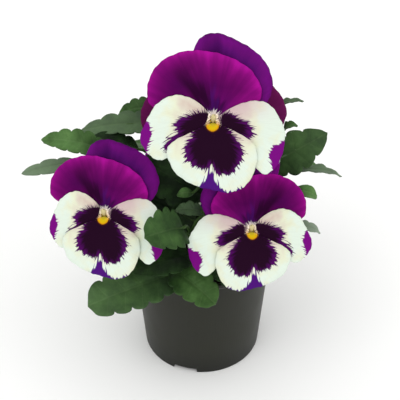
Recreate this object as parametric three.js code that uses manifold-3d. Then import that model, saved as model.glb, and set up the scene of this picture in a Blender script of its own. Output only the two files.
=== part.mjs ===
// A large-flowered pansy in bloom, in a round plastic nursery pot of compost.
// Millimetres, +Z up. The origin is the middle of the pot's foot, on the surface that it stands on.
// The blooms face -Y and upwards.

import * as THREE from "three";
import { mergeVertices } from "three/addons/utils/BufferGeometryUtils.js";
import Module from "manifold-3d";

const wasm = await Module();
wasm.setup();

// ---------------------------------------------------------------- driving dimensions

const CLEARANCE = 0.35; // between pieces that rest on each other
const STALK_SIDES = 6;

const POT_HEIGHT = 85;
const POT_RIM_RADIUS = 45;
const POT_FOOT_RADIUS = 38.3;
const POT_WALL = 1.3;
const POT_LIP_HEIGHT = 4;
const POT_LIP_OVERHANG = 1.2;
const POT_LIP_CHAMFER = 0.8;
const POT_FOOT_DISC_RADIUS = 18; // the middle of the floor stands on the ground
const POT_CHANNEL_HEIGHT = 4; // round it the floor is raised this high, up to the skirt
const POT_SIDES = 36;
const SKIRT_NOTCHES = { count: 3, firstDegrees: 253, width: 16, height: 3.4, depth: 8 };
const FLOOR_DRAINS = { count: 6, firstDegrees: 30, radius: 3.5, circleRadius: 29, sides: 8 };

const SOIL_LEVEL = 76;
const SOIL_CROWN = 2.2; // how much higher the compost is in the middle
const SOIL_CRUMB = 0.7; // how high its lumps stand
const SOIL_SIDES = 24;
const SOIL_RINGS = 4;
const SOIL_SIDE_GAP = 0.6; // enough that its flat sides stay clear of the pot's wall
const SOCKET_DEPTH = 13; // how deep a stem stands in the compost
const SOCKET_CLEARANCE = 0.7;

const PETAL_THICKNESS = 0.8;
const LEAF_THICKNESS = 0.9;
const LEAF_TOOTH_DEPTH = 0.22; // as a share of the blade's half width
const LEAF_FOLD = 0.22; // how steeply each half rises from the midrib
const LEAF_TIP_REACH = 0.05; // how far the midrib runs on past the blade, as a share of its length
const STEM_RADIUS = 2.0;
const PEDUNCLE_RADIUS = 1.3;
const PETIOLE = { radius: 0.9, sides: 5, steps: 3, rise: 0.12 };

const COLOURS = {
  pot: "#3a3b36",
  soil: "#2b2119",
  leaf: "#3f5c31",
  violetPetal: "#5f1269",
  magentaPetal: "#7d1072",
  whitePetal: "#e9f1e0",
  pistil: "#b9b56a",
};

// ---------------------------------------------------------------- solids and meshes

const vec = (x, y, z) => new THREE.Vector3(x, y, z);
const radians = THREE.MathUtils.degToRad;
const smoothstep = THREE.MathUtils.smoothstep;

function solidOf(geometry) {
  const bare = geometry.clone();
  bare.deleteAttribute("normal");
  bare.deleteAttribute("uv");
  const merged = mergeVertices(bare, 1e-4);
  return new wasm.Manifold(
    new wasm.Mesh({
      numProp: 3,
      vertProperties: merged.attributes.position.array,
      triVerts: new Uint32Array(merged.index.array),
    }),
  );
}

function geometryOf(solid) {
  const mesh = solid.getMesh();
  return new THREE.BufferGeometry()
    .setAttribute("position", new THREE.BufferAttribute(mesh.vertProperties, 3))
    .setIndex(new THREE.BufferAttribute(mesh.triVerts, 1));
}

function joined(geometries) {
  return geometries.map(solidOf).reduce((whole, next) => whole.add(next));
}

function meshOf(name, geometry, colour, roughness = 0.6) {
  const material = new THREE.MeshStandardMaterial({ color: colour, roughness, metalness: 0 });
  const mesh = new THREE.Mesh(geometry, material);
  mesh.name = name;
  return mesh;
}

// A closed thin blade. surface(x, y) gives the middle of the blade for x and y from -1 to 1, and
// lift is half the blade's thickness, as a vector. Both faces are split into the same triangles.
function bladeGeometry(columns, rows, surface, lift) {
  const grid = new THREE.PlaneGeometry(2, 2, columns, rows);
  const flat = grid.attributes.position;
  const count = flat.count;
  const points = new Float32Array(count * 6);
  for (let i = 0; i < count; i++) {
    const middle = surface(flat.getX(i), flat.getY(i));
    middle.clone().add(lift).toArray(points, 3 * i);
    middle.sub(lift).toArray(points, 3 * (i + count));
  }
  const faces = [];
  const front = grid.index.array;
  for (let i = 0; i < front.length; i += 3) {
    faces.push(front[i], front[i + 1], front[i + 2]);
    faces.push(front[i] + count, front[i + 2] + count, front[i + 1] + count);
  }
  const edge = edgeLoop(columns, rows);
  edge.forEach((a, k) => {
    const b = edge[(k + 1) % edge.length];
    faces.push(a, a + count, b + count, a, b + count, b);
  });
  return new THREE.BufferGeometry()
    .setAttribute("position", new THREE.BufferAttribute(points, 3))
    .setIndex(faces);
}

// The outer vertices of a grid, in order, anticlockwise seen from its front.
function edgeLoop(columns, rows) {
  const at = (column, row) => row * (columns + 1) + column;
  const loop = [];
  for (let row = 0; row < rows; row++) loop.push(at(0, row));
  for (let column = 0; column < columns; column++) loop.push(at(column, rows));
  for (let row = rows; row > 0; row--) loop.push(at(columns, row));
  for (let column = columns; column > 0; column--) loop.push(at(column, 0));
  return loop;
}

// A round stem of one thickness along a smooth curve through some points.
function stemGeometry(points, radius, sides, steps) {
  const section = new THREE.Shape();
  for (let k = 0; k < sides; k++) {
    const angle = (2 * Math.PI * k) / sides;
    const [x, y] = [radius * Math.cos(angle), radius * Math.sin(angle)];
    if (k === 0) section.moveTo(x, y);
    else section.lineTo(x, y);
  }
  const path = new THREE.CatmullRomCurve3(points.map((p) => vec(...p)), false, "centripetal");
  return new THREE.ExtrudeGeometry(section, { steps, extrudePath: path, bevelEnabled: false });
}

// ---------------------------------------------------------------- pot

function potRadiusAt(z) {
  return POT_FOOT_RADIUS + ((POT_RIM_RADIUS - POT_FOOT_RADIUS) * z) / POT_HEIGHT;
}

// The angles of equally spaced cuts round the pot.
function turnsOf({ count, firstDegrees }) {
  return Array.from({ length: count }, (_, k) => radians(firstDegrees + (360 * k) / count));
}

function potGeometry() {
  const floorTop = POT_CHANNEL_HEIGHT + POT_WALL;
  const lipFoot = POT_HEIGHT - POT_LIP_HEIGHT;
  const channelStart = POT_FOOT_DISC_RADIUS + POT_CHANNEL_HEIGHT / 2;
  const profile = [
    [0, 0],
    [POT_FOOT_DISC_RADIUS, 0],
    [channelStart, POT_CHANNEL_HEIGHT],
    [POT_FOOT_RADIUS - POT_WALL, POT_CHANNEL_HEIGHT],
    [POT_FOOT_RADIUS - POT_WALL, 0],
    [POT_FOOT_RADIUS, 0],
    [potRadiusAt(lipFoot), lipFoot],
    [potRadiusAt(lipFoot) + POT_LIP_OVERHANG, lipFoot + POT_LIP_OVERHANG],
    [POT_RIM_RADIUS + POT_LIP_OVERHANG, POT_HEIGHT - POT_LIP_CHAMFER],
    [POT_RIM_RADIUS + POT_LIP_OVERHANG - POT_LIP_CHAMFER, POT_HEIGHT],
    [POT_RIM_RADIUS - POT_WALL, POT_HEIGHT],
    [potRadiusAt(floorTop) - POT_WALL, floorTop],
    [channelStart - POT_WALL, floorTop],
    [POT_FOOT_DISC_RADIUS - POT_WALL, POT_WALL],
    [0, POT_WALL],
  ].map(([r, z]) => new THREE.Vector2(r, z));
  // A lathe turns about Y, so it is stood up on Z.
  let pot = solidOf(new THREE.LatheGeometry(profile, POT_SIDES).rotateX(Math.PI / 2));
  const { width, height, depth } = SKIRT_NOTCHES;
  const notch = new THREE.BoxGeometry(depth, width, 2 * height).translate(POT_FOOT_RADIUS, 0, 0);
  for (const turn of turnsOf(SKIRT_NOTCHES)) {
    pot = pot.subtract(solidOf(notch.clone().rotateZ(turn)));
  }
  const { radius, sides, circleRadius } = FLOOR_DRAINS;
  const drain = new THREE.CylinderGeometry(radius, radius, 4 * POT_WALL, sides)
    .rotateX(Math.PI / 2)
    .translate(circleRadius, 0, POT_CHANNEL_HEIGHT + POT_WALL / 2);
  for (const turn of turnsOf(FLOOR_DRAINS)) {
    pot = pot.subtract(solidOf(drain.clone().rotateZ(turn)));
  }
  return geometryOf(pot);
}

// ---------------------------------------------------------------- compost

function soilGeometry(feet) {
  const low = POT_CHANNEL_HEIGHT + POT_WALL + CLEARANCE;
  const inside = (z) => potRadiusAt(z) - POT_WALL - SOIL_SIDE_GAP;
  const profile = [new THREE.Vector2(0, low), new THREE.Vector2(inside(low), low)];
  for (let k = 0; k <= SOIL_RINGS; k++) {
    const r = inside(SOIL_LEVEL) * (1 - k / SOIL_RINGS);
    profile.push(new THREE.Vector2(r, SOIL_LEVEL));
  }
  const lathe = new THREE.LatheGeometry(profile, SOIL_SIDES).rotateX(Math.PI / 2);
  const p = lathe.attributes.position;
  for (let i = 0; i < p.count; i++) {
    if (p.getZ(i) < SOIL_LEVEL - 1) continue;
    const [x, y] = [p.getX(i), p.getY(i)];
    const middle = 1 - (x * x + y * y) / inside(SOIL_LEVEL) ** 2;
    const crumbs = Math.sin(0.7 * x + 1.3) * Math.cos(0.8 * y) + 0.6 * Math.sin(0.45 * x - 0.6 * y);
    p.setZ(i, SOIL_LEVEL + SOIL_CROWN * middle + SOIL_CRUMB * crumbs * Math.min(1, 3 * middle));
  }
  let soil = solidOf(lathe);
  for (const [x, y, radius] of feet) {
    const socketRadius = radius + SOCKET_CLEARANCE;
    const floor = SOIL_LEVEL - SOCKET_DEPTH - CLEARANCE;
    const height = 2 * SOCKET_DEPTH;
    const socket = new THREE.CylinderGeometry(socketRadius, socketRadius, height, STALK_SIDES)
      .rotateX(Math.PI / 2)
      .translate(x, y, floor + height / 2);
    soil = soil.subtract(solidOf(socket));
  }
  return geometryOf(soil);
}

// ---------------------------------------------------------------- leaves

// Half the width of a blade, as a share of its greatest half width, from its base (v = 0) to its tip.
function leafOutline(v, lobes, pointed) {
  const body = Math.sin(Math.PI * (0.07 + 0.86 * v ** 0.85)) ** pointed;
  const scallop = Math.abs(Math.sin(Math.PI * lobes * v)) ** 0.5;
  return body * (1 - LEAF_TOOTH_DEPTH * (1 - scallop));
}

// How high a leaf arches, how many rounded teeth it has on each side, and how pointed it is.
const LEAF_FORM = { arch: 3, lobes: 4, pointed: 0.75 };

// One leaf of the table below: where its stalk leaves the stem, its blade's base, tip and width, the
// way that its upper side looks, and what differs from LEAF_FORM.
function leaf(from, base, tip, width, face, form = {}) {
  return { from, base, tip, width, face, ...LEAF_FORM, ...form };
}

// A leaf's blade, arched and folded on its midrib, with rounded teeth, and its stalk.
function leafGeometries({ from, base, tip, width, face, arch, lobes, pointed }) {
  const start = vec(...base);
  const along = vec(...tip).sub(start);
  const length = along.length();
  const ahead = along.clone().normalize();
  const up = vec(...face);
  up.addScaledVector(ahead, -up.dot(ahead)).normalize();
  const across = up.clone().cross(ahead);
  const rows = 3 * lobes;
  const surface = (x, y) => {
    const v = (y + 1) / 2;
    const side = (width / 2) * leafOutline(v, lobes, pointed) * -x;
    const rise = arch * 4 * v * (1 - v) + LEAF_FOLD * Math.abs(side);
    const reach = length * (v + LEAF_TIP_REACH * (1 - Math.abs(x)) * v ** 4);
    return start
      .clone()
      .addScaledVector(ahead, reach)
      .addScaledVector(across, side)
      .addScaledVector(up, rise);
  };
  const blade = bladeGeometry(2, rows, surface, up.clone().multiplyScalar(LEAF_THICKNESS / 2));
  const stem = vec(...from);
  const knee = stem.clone().lerp(start, 0.5).add(vec(0, 0, PETIOLE.rise * start.distanceTo(stem)));
  const underBlade = surface(0, -0.7);
  const path = [stem, knee, start, underBlade].map((p) => p.toArray());
  const stalk = stemGeometry(path, PETIOLE.radius, PETIOLE.sides, PETIOLE.steps);
  return [blade, stalk];
}

// ---------------------------------------------------------------- blooms

// Petal outlines of a bloom of full size, seen from its front, with the throat at 0, 0 and +Y up.
// Each is a closed smooth curve through its points, anticlockwise, about its own middle.
const BLOOM_PETALS = {
  upper_right: {
    layer: 0,
    colour: COLOURS.violetPetal,
    middle: [12, 26],
    outline: [
      [33.3, 19], [30.5, 31], [23, 39.5], [12, 45.8], [2, 49.2], [-7, 46.5],
      [-12, 36], [-11, 23], [-6, 11], [0.5, 3.8], [14, 3.4], [27, 7],
    ],
  },
  upper_left: {
    layer: 1,
    colour: COLOURS.magentaPetal,
    middle: [-5, 20],
    outline: [
      [26.8, 14], [22.5, 27], [11, 35], [-3, 39], [-17, 38.8], [-29.5, 32.8],
      [-36, 22], [-35, 9.5], [-22, 3.6], [-8, 3.8], [1, 3.8], [14, 4.2],
    ],
  },
  side_left: {
    layer: 2,
    colour: COLOURS.whitePetal,
    middle: [-21, -2],
    outline: [
      [-2.1, 1.5], [-4.6, 7.4], [-12, 13], [-21.5, 14.8], [-31, 10], [-37, 0.5],
      [-40.7, -9], [-37, -17], [-30.5, -21.3], [-23.5, -19], [-13, -12.5], [-5, -4.5],
    ],
  },
  side_right: {
    layer: 2,
    colour: COLOURS.whitePetal,
    middle: [21, -7],
    outline: [
      [40.3, -8], [37.5, 1], [31, 9.8], [22, 11.7], [12, 8.8], [4.6, 4],
      [2.1, -0.5], [5.5, -6], [13, -14], [21, -22], [29, -29.2], [37.3, -22],
    ],
  },
  lower: {
    layer: 3,
    colour: COLOURS.whitePetal,
    middle: [0, -20],
    outline: [
      [24.3, -23], [23, -12.6], [13.6, -5.9], [3, -2.1], [-3, -2.1], [-13, -6],
      [-23, -11.5], [-25.6, -18], [-20, -29], [-9, -35.8], [-1, -37.6], [9, -39.4],
      [18.5, -35],
    ],
  },
};

const PETAL_GRID = 6;
const THROAT_DEPTH = 3.2;
const THROAT_SPREAD = 6;
const COROLLA_DOME = 0.0014; // how fast its face falls away from the throat, per mm squared
const UPPER_LEAN = 0.002; // how much faster the upper half does
const FOLD_HEIGHT = 0.9;
const FOLD_RADII = [6, 30]; // the folds grow between these
const LAYER_AT_THROAT = 1.25; // from one layer of petals to the next
const LAYER_AT_RIM = 2.15;
const LAYER_RADII = [5, 18];

// How far the corolla stands forward of the throat's plane at x, y: a dip at the throat, a gentle
// dome, an upper half that leans back, and soft folds that run out from the throat.
function corollaHeight(x, y) {
  const r = Math.hypot(x, y);
  const turn = Math.atan2(y, x);
  const dip = -THROAT_DEPTH * Math.exp(-((r / THROAT_SPREAD) ** 2));
  const dome = -COROLLA_DOME * r * r;
  const lean = y > 0 ? -UPPER_LEAN * y * y : 0;
  const waves = Math.cos(5 * turn - 1.2) + 0.5 * Math.cos(8 * turn);
  return dip + dome + lean + FOLD_HEIGHT * smoothstep(r, ...FOLD_RADII) * waves;
}

function petalHeight(layer, x, y) {
  const r = Math.hypot(x, y);
  const spread = smoothstep(r, ...LAYER_RADII);
  return corollaHeight(x, y) + layer * THREE.MathUtils.lerp(LAYER_AT_THROAT, LAYER_AT_RIM, spread);
}

// A petal may be broader or higher than it is drawn above, and turned about the throat, in degrees.
const AS_DRAWN = { breadth: 1, height: 1, turn: 0 };

// The unit square is drawn out to a disc, and the disc to the petal's outline.
function petalGeometry({ layer, middle, outline }, size, fit) {
  const { breadth, height, turn: swing } = { ...AS_DRAWN, ...fit };
  const placed = ([x, y]) => vec(x * breadth, y * height, 0).applyAxisAngle(vec(0, 0, 1), radians(swing));
  const points = outline.map(placed);
  const edge = new THREE.CatmullRomCurve3(points, true, "catmullrom", 0.5);
  const centre = placed(middle);
  const first = points[0].clone().sub(centre);
  const zero = Math.atan2(first.y, first.x);
  const surface = (x, y) => {
    const [dx, dy] = [x * Math.sqrt(1 - (y * y) / 2), y * Math.sqrt(1 - (x * x) / 2)];
    const share = Math.min(1, Math.hypot(dx, dy));
    const turn = (Math.atan2(dy, dx) - zero) / (2 * Math.PI);
    const rim = edge.getPoint(((turn % 1) + 1) % 1);
    const p = centre.clone().lerp(rim, share);
    p.z = petalHeight(layer, p.x, p.y);
    return p.multiplyScalar(size);
  };
  return bladeGeometry(PETAL_GRID, PETAL_GRID, surface, vec(0, 0, PETAL_THICKNESS / 2));
}

const SPUR = { below: 6.4, radius: 1.2, steps: 5 };

// The nectar spur that the lower petal sends back between the sepals.
function spurGeometry(size) {
  const base = -SPUR.below * size;
  const root = petalHeight(BLOOM_PETALS.lower.layer, 0, -SPUR.below) * size;
  const path = [[0, base, root], [0, base, -4], [0, base - 0.8, -8], [0, base - 2.6, -11]];
  return stemGeometry(path, SPUR.radius, STALK_SIDES, SPUR.steps);
}

const RECEPTACLE_FRONT = -3;
const RECEPTACLE_BACK = -8;
const RECEPTACLE_RADIUS = 4;
const TURNED_SIDES = 8;
const PISTIL_ABOVE_THROAT = 0.7;

// The ovary in the throat, and the hollow-headed style that shows above it.
function pistilGeometry() {
  const foot = RECEPTACLE_FRONT + CLEARANCE;
  const profile = [
    [0, foot], [1.3, foot], [1.3, -0.4], [0.8, 0.6], [1.5, 1.7], [1.5, 2.7], [0.8, 3.5], [0, 3.6],
  ].map(([r, z]) => new THREE.Vector2(r, z));
  const pistil = new THREE.LatheGeometry(profile, TURNED_SIDES).rotateX(Math.PI / 2);
  return pistil.translate(0, PISTIL_ABOVE_THROAT, 0);
}

const SEPALS = { degrees: [90, 158, 220, 320, 22], length: 15, halfWidth: 2.5, thickness: 0.7 };

// The green end of the flower stalk: the receptacle and its five sepals.
function calyxGeometries(size) {
  const profile = [
    [0, RECEPTACLE_BACK], [1.6, RECEPTACLE_BACK], [RECEPTACLE_RADIUS, RECEPTACLE_BACK + 3],
    [RECEPTACLE_RADIUS, RECEPTACLE_FRONT], [0, RECEPTACLE_FRONT],
  ].map(([r, z]) => new THREE.Vector2(r, z));
  const receptacle = new THREE.LatheGeometry(profile, TURNED_SIDES).rotateX(Math.PI / 2);
  const surface = (x, y) => {
    const v = (y + 1) / 2;
    const halfWidth = SEPALS.halfWidth * Math.sin(Math.PI * (0.16 + 0.8 * v)) ** 0.9;
    const out = 1.6 + SEPALS.length * size * v;
    const sweep = 2 + 2.5 * Math.sin(2.6 * v) - 0.25 * Math.abs(x);
    return vec(x * halfWidth, out, RECEPTACLE_FRONT - sweep);
  };
  const sepal = bladeGeometry(2, 3, surface, vec(0, 0, SEPALS.thickness / 2));
  const sepals = SEPALS.degrees.map((degrees) => sepal.clone().rotateZ(radians(degrees - 90)));
  return [receptacle, ...sepals];
}

// ---------------------------------------------------------------- the plant

// Each bloom: its throat, the way it faces in degrees round from -Y and up from level, its turn about
// its own axis, its size beside a full-sized one of 81 mm, and the petals that differ from AS_DRAWN.
const BLOOMS = {
  top: { at: [6, -30, 196], facing: [0, 32], turn: 0, size: 1, fits: {} },
  left: {
    at: [-57, -42, 138],
    facing: [-13, 32],
    turn: 6,
    size: 0.93,
    fits: {
      side_left: { breadth: 0.87 },
      upper_left: { height: 0.92, turn: -4 },
      upper_right: { breadth: 1.06, height: 0.96, turn: 3.5 },
    },
  },
  right: {
    at: [29, -44, 128],
    facing: [9, 32],
    turn: -5,
    size: 0.89,
    fits: { side_right: { breadth: 1.05 }, upper_left: { height: 0.95 } },
    mirrored: true,
  },
  rear: {
    at: [6.5, 12, 149.5],
    facing: [0, 32],
    turn: 0,
    size: 1.03,
    fits: { upper_left: { breadth: 1.17 }, upper_right: { breadth: 1.29, turn: -3 } },
  },
};

// The bloom's own frame in the plant's: its +Z looks out of its face, and its +Y is its top.
function bloomFrame({ at, facing, turn, mirrored }) {
  const [azimuth, elevation] = facing.map(radians);
  const out = vec(Math.sin(azimuth), -Math.cos(azimuth), Math.tan(elevation)).normalize();
  const right = vec(0, 0, 1).cross(out).normalize();
  const top = out.clone().cross(right);
  const frame = new THREE.Matrix4().makeBasis(right, top, out).setPosition(...at);
  frame.multiply(new THREE.Matrix4().makeRotationZ(radians(turn)));
  return mirrored ? frame.multiply(new THREE.Matrix4().makeScale(-1, 1, 1)) : frame;
}

// Leafy stems, from left to right and front to back. Each rises from its foot in the compost
// through its path, and carries the leaves listed. A flowering stem ends behind its bloom.
const STEMS = {
  flowering_stem_top: {
    bloom: "top",
    foot: [3, -9],
    path: [[3, -12, 100], [5, -18, 128], [6, -20, 155], [6, -19, 176]],
    leaves: [
      leaf([5, -18, 126], [0, -16, 132], [-35, -13, 156], 31, [0, -0.7, 0.7]),
      leaf([3, -13, 104], [-5, -17, 113], [-35, -18, 133], 26, [0, -0.6, 0.8]),
      leaf([6, -19.5, 147], [-5.5, -28, 143.8], [-14.5, -28.5, 142.8], 6, [0, -0.6, 0.8], { lobes: 1 }),
    ],
  },
  flowering_stem_left: {
    bloom: "left",
    foot: [-11, -7],
    path: [[-19, -10, 98], [-34, -14, 114], [-48, -22, 124]],
    leaves: [
      leaf([-24, -11, 103], [-34, -4, 102], [-70, -10, 108], 22, [0, -0.3, 1], { lobes: 3 }),
    ],
  },
  flowering_stem_right: {
    bloom: "right",
    foot: [12, -9],
    path: [[15, -13, 94], [21, -19, 108]],
    leaves: [
      leaf([16, -14, 96], [28, -24, 99], [48, -36, 97], 22, [0, -0.2, 1], { lobes: 3 }),
      leaf([13, -11, 86], [8, -27, 92], [20, -50, 88], 19, [0, -0.4, 0.9]),
    ],
  },
  flowering_stem_rear: {
    bloom: "rear",
    foot: [7, 15],
    path: [[6, 24, 104], [6, 31, 130]],
    leaves: [
      leaf([6, 25, 106], [15, 38, 116], [26, 74, 126], 27, [0, 0.3, 1]),
    ],
  },
  leafy_stem_left: {
    foot: [-19, 6],
    path: [[-25, 8, 100], [-33, 9, 122], [-38, 9, 138]],
    leaves: [
      leaf([-38, 9, 137], [-58, 8, 148], [-96.5, 12, 153.5], 17, [0, -0.4, 0.9], { arch: 4, lobes: 5 }),
      leaf([-35, 9, 128], [-76, 0, 145.5], [-109, 0, 137], 9, [-0.1, -0.6, 0.7], { arch: 2, lobes: 3 }),
    ],
  },
  leafy_stem_left_inner: {
    foot: [-8, 6],
    path: [[-12, 14, 104], [-20, 19, 122], [-25, 24, 135]],
    leaves: [
      leaf([-25, 24, 134], [-20, 31, 151], [-73.8, 30, 148], 16.5, [0, -0.45, 0.9], { arch: 5, lobes: 5 }),
      leaf([-25, 24, 135], [-27, 42, 156.7], [-51.4, 42, 153.2], 14, [-0.1, -0.5, 0.8]),
      leaf([-23, 22, 130], [-40, 22, 139], [-67, 20, 149.5], 12, [0, -0.3, 0.9], { arch: 4, lobes: 3 }),
    ],
  },
  leafy_stem_right: {
    foot: [19, 5],
    path: [[28, 6, 104], [38, 9, 116], [44, 10, 123]],
    leaves: [
      leaf([44, 10, 122], [41.6, 17, 130.4], [75, 16, 154.7], 27, [0.1, -0.75, 0.6], { pointed: 0.8 }),
      leaf([42, 10, 120], [50.5, 25, 151.5], [58.6, 25, 155.2], 6.5, [0, -0.2, 1], { lobes: 2 }),
    ],
  },
  leafy_stem_right_low: {
    foot: [22, -4],
    path: [[34, -4, 96], [46, -3, 110], [54, -2, 121]],
    leaves: [
      leaf([52, -2, 118], [57, -5, 128], [70.5, -4, 122], 8, [0, -0.5, 0.9], { lobes: 1, pointed: 0.5 }),
      leaf([47, -3, 111], [57, -14, 107], [73, -14, 101.5], 7.5, [0, -0.3, 1], { lobes: 2, pointed: 1.1 }),
    ],
  },
  leafy_stem_front: {
    foot: [-3, -19],
    path: [[-4, -25, 98], [-7, -31, 116]],
    leaves: [
      leaf([-7, -31, 115], [-11, -50.5, 136], [-31, -68, 144], 26, [0, -0.6, 0.8], { pointed: 0.45 }),
      leaf([-7, -31, 114], [0.6, -33, 133.3], [-15.1, -30, 132.7], 9.5, [0, -0.4, 0.9], { lobes: 3 }),
      leaf([-4, -25, 99], [-7, -34, 100], [-41, -49, 101], 26, [0, -0.3, 1]),
    ],
  },
  leafy_stem_low: {
    foot: [-13, -15],
    path: [[-19, -24, 84], [-22, -30, 88]],
    leaves: [
      leaf([-22, -29, 87], [-18, -39, 89], [-66, -60, 83.5], 31, [0, -0.5, 0.9], { lobes: 5, pointed: 0.4 }),
      leaf([-21, -27, 87], [-17, -41, 94], [7, -60, 85.5], 25, [0.2, -0.5, 0.8], { pointed: 0.5 }),
    ],
  },
  leafy_stem_back: {
    foot: [-2, 25],
    path: [[-3, 34, 102], [-6, 44, 122]],
    leaves: [
      leaf([-6, 44, 121], [-8, 54, 130], [-16, 90, 128], 28, [0, 0.2, 1], { arch: 5 }),
      leaf([-4, 38, 108], [-16, 44, 112], [-46, 72, 108], 27, [0, 0.2, 1], { lobes: 3 }),
      leaf([-2, 31, 95], [2, 44, 99], [6, 82, 93], 28, [0, 0.3, 1], { arch: 5, lobes: 3 }),
    ],
  },
  leafy_stem_back_left: {
    foot: [-18, 17],
    path: [[-27, 22, 98], [-38, 26, 116]],
    leaves: [
      leaf([-38, 26, 115], [-46, 30, 124], [-84, 42, 130], 26, [0, 0.1, 1]),
      leaf([-29, 22, 101], [-36, 32, 100], [-66, 58, 92], 28, [-0.2, 0.2, 1], { lobes: 3 }),
      leaf([-30, 23, 102], [-42, 14, 104], [-84, 12, 100], 28, [-0.2, 0, 1], { arch: 5 }),
    ],
  },
  leafy_stem_back_right: {
    foot: [20, 17],
    path: [[30, 24, 102], [38, 31, 126], [40, 33, 142]],
    leaves: [
      leaf([40, 33, 141], [44, 35, 159], [62, 36, 166], 7, [0, 0.1, 1], { lobes: 3 }),
      leaf([38, 31, 126], [61, 22, 122.5], [87.7, 21, 119], 9, [0, 0, 1], { lobes: 3, pointed: 1.3 }),
      leaf([37, 30, 121], [45, 33, 118], [76, 45, 108], 26, [0.2, 0.1, 1]),
      leaf([28, 22, 97], [33, 36, 100], [54, 68, 96], 28, [0.1, 0.2, 1], { lobes: 3 }),
    ],
  },
};

function stalkRadius({ bloom }) {
  return bloom ? PEDUNCLE_RADIUS : STEM_RADIUS;
}

const STEM_UPRIGHT = [-4, 5]; // a stem stands upright between these heights about the compost's level
const HOOK_LENGTH = 6; // of the stalk's straight end behind a bloom
const SUNK_END = 1; // of it inside the receptacle

function stemGeometries({ bloom, foot, path, leaves }) {
  const upright = [-SOCKET_DEPTH, ...STEM_UPRIGHT].map((rise) => [...foot, SOIL_LEVEL + rise]);
  const line = [...upright, ...path];
  const radius = stalkRadius({ bloom });
  const pieces = [];
  if (bloom) {
    const frame = bloomFrame(BLOOMS[bloom]);
    const hook = vec(0, 0, RECEPTACLE_BACK - HOOK_LENGTH).applyMatrix4(frame);
    const end = vec(0, 0, RECEPTACLE_BACK + SUNK_END).applyMatrix4(frame);
    line.push(hook.toArray(), end.toArray());
    for (const geometry of calyxGeometries(BLOOMS[bloom].size)) {
      const solid = geometry.applyMatrix4(frame);
      if (frame.determinant() < 0) turnFaces(solid);
      pieces.push(solid);
    }
  }
  pieces.push(stemGeometry(line, radius, STALK_SIDES, 2 * line.length - 3));
  for (const leaf of leaves) pieces.push(...leafGeometries(leaf));
  return pieces;
}

// A mirrored solid is inside out until each of its triangles is turned over.
function turnFaces(geometry) {
  const index = geometry.index;
  for (let i = 0; i < index.count; i += 3) {
    const second = index.getX(i + 1);
    index.setX(i + 1, index.getX(i + 2));
    index.setX(i + 2, second);
  }
}

// ---------------------------------------------------------------- assembly

const plant = new THREE.Group();

plant.add(meshOf("pot", potGeometry(), COLOURS.pot, 0.55));

const feet = Object.values(STEMS).map((stem) => [...stem.foot, stalkRadius(stem)]);
plant.add(meshOf("soil", soilGeometry(feet), COLOURS.soil, 0.95));

for (const [name, stem] of Object.entries(STEMS)) {
  plant.add(meshOf(name, geometryOf(joined(stemGeometries(stem))), COLOURS.leaf));
}

for (const [name, bloom] of Object.entries(BLOOMS)) {
  const flower = new THREE.Group();
  flower.applyMatrix4(bloomFrame(bloom));
  for (const [petal, shape] of Object.entries(BLOOM_PETALS)) {
    let geometry = petalGeometry(shape, bloom.size, bloom.fits[petal]);
    if (petal === "lower") geometry = geometryOf(joined([geometry, spurGeometry(bloom.size)]));
    flower.add(meshOf(`bloom_${name}_${petal}_petal`, geometry, shape.colour, 0.7));
  }
  flower.add(meshOf(`bloom_${name}_pistil`, pistilGeometry(), COLOURS.pistil));
  plant.add(flower);
}

export default plant;
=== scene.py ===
# %% [markdown]
# # A potted pansy
#
# This notebook dresses a small potted pansy. The construction is already settled: every piece of the
# plant and its pot exists as a plain solid, and we load those solids as a frame. Each step below takes
# one kind of piece, makes a finer mesh in the same place, gives it a finish that is worked out from
# what the real thing is made of, and says which solid it stands for.

import math
import random

import bmesh
import bpy
import numpy as np
from mathutils import Matrix, Vector, noise


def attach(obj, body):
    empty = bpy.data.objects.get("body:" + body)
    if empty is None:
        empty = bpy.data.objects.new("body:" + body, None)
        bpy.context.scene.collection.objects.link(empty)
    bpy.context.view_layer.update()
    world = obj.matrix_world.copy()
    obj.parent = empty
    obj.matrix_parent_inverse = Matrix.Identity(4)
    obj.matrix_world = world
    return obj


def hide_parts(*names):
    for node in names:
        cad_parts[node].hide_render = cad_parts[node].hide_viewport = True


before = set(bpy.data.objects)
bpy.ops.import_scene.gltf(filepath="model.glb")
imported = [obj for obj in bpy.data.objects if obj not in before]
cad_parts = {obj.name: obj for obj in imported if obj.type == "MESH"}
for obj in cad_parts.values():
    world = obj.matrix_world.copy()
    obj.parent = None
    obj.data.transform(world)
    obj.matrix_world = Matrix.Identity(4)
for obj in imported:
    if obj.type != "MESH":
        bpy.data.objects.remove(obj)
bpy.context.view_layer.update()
scene = bpy.context.scene
MM = 0.001
TO_METRES = Matrix.Scale(MM, 4)
print("solids loaded:", len(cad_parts))

# %% [markdown]
# ## Colours
#
# Colours are picked as sRGB hex values, the way a paint or print chart gives them. The renderer works
# in linear light, so one function turns each value over, and nothing else in the notebook does.


# %% One way to write a colour
def linear(hex_colour):
    """An sRGB hex colour as linear red, green, blue and an alpha of 1."""
    channels = [int(hex_colour[i : i + 2], 16) / 255 for i in (1, 3, 5)]
    return [c / 12.92 if c <= 0.04045 else ((c + 0.055) / 1.055) ** 2.4 for c in channels] + [1.0]


print("mid grey in linear light:", round(linear("#808080")[0], 3))

# %% [markdown]
# ## Building materials from nodes
#
# A material is a small graph, and one function adds every kind of node to it, so that each material
# below reads as a list of steps. What follows the kind goes into the node's inputs in their order: a
# number or colour is set, a node, or one of its outputs, is plugged in, and a word stands for the
# attribute of that name which the mesh carries. So a Math node reads as its terms, a Mix node as its
# share and two colours, and a Map Range node as a value, the range that it comes from and the range
# that it goes to. Anything else is given by the name of the input or property.


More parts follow.
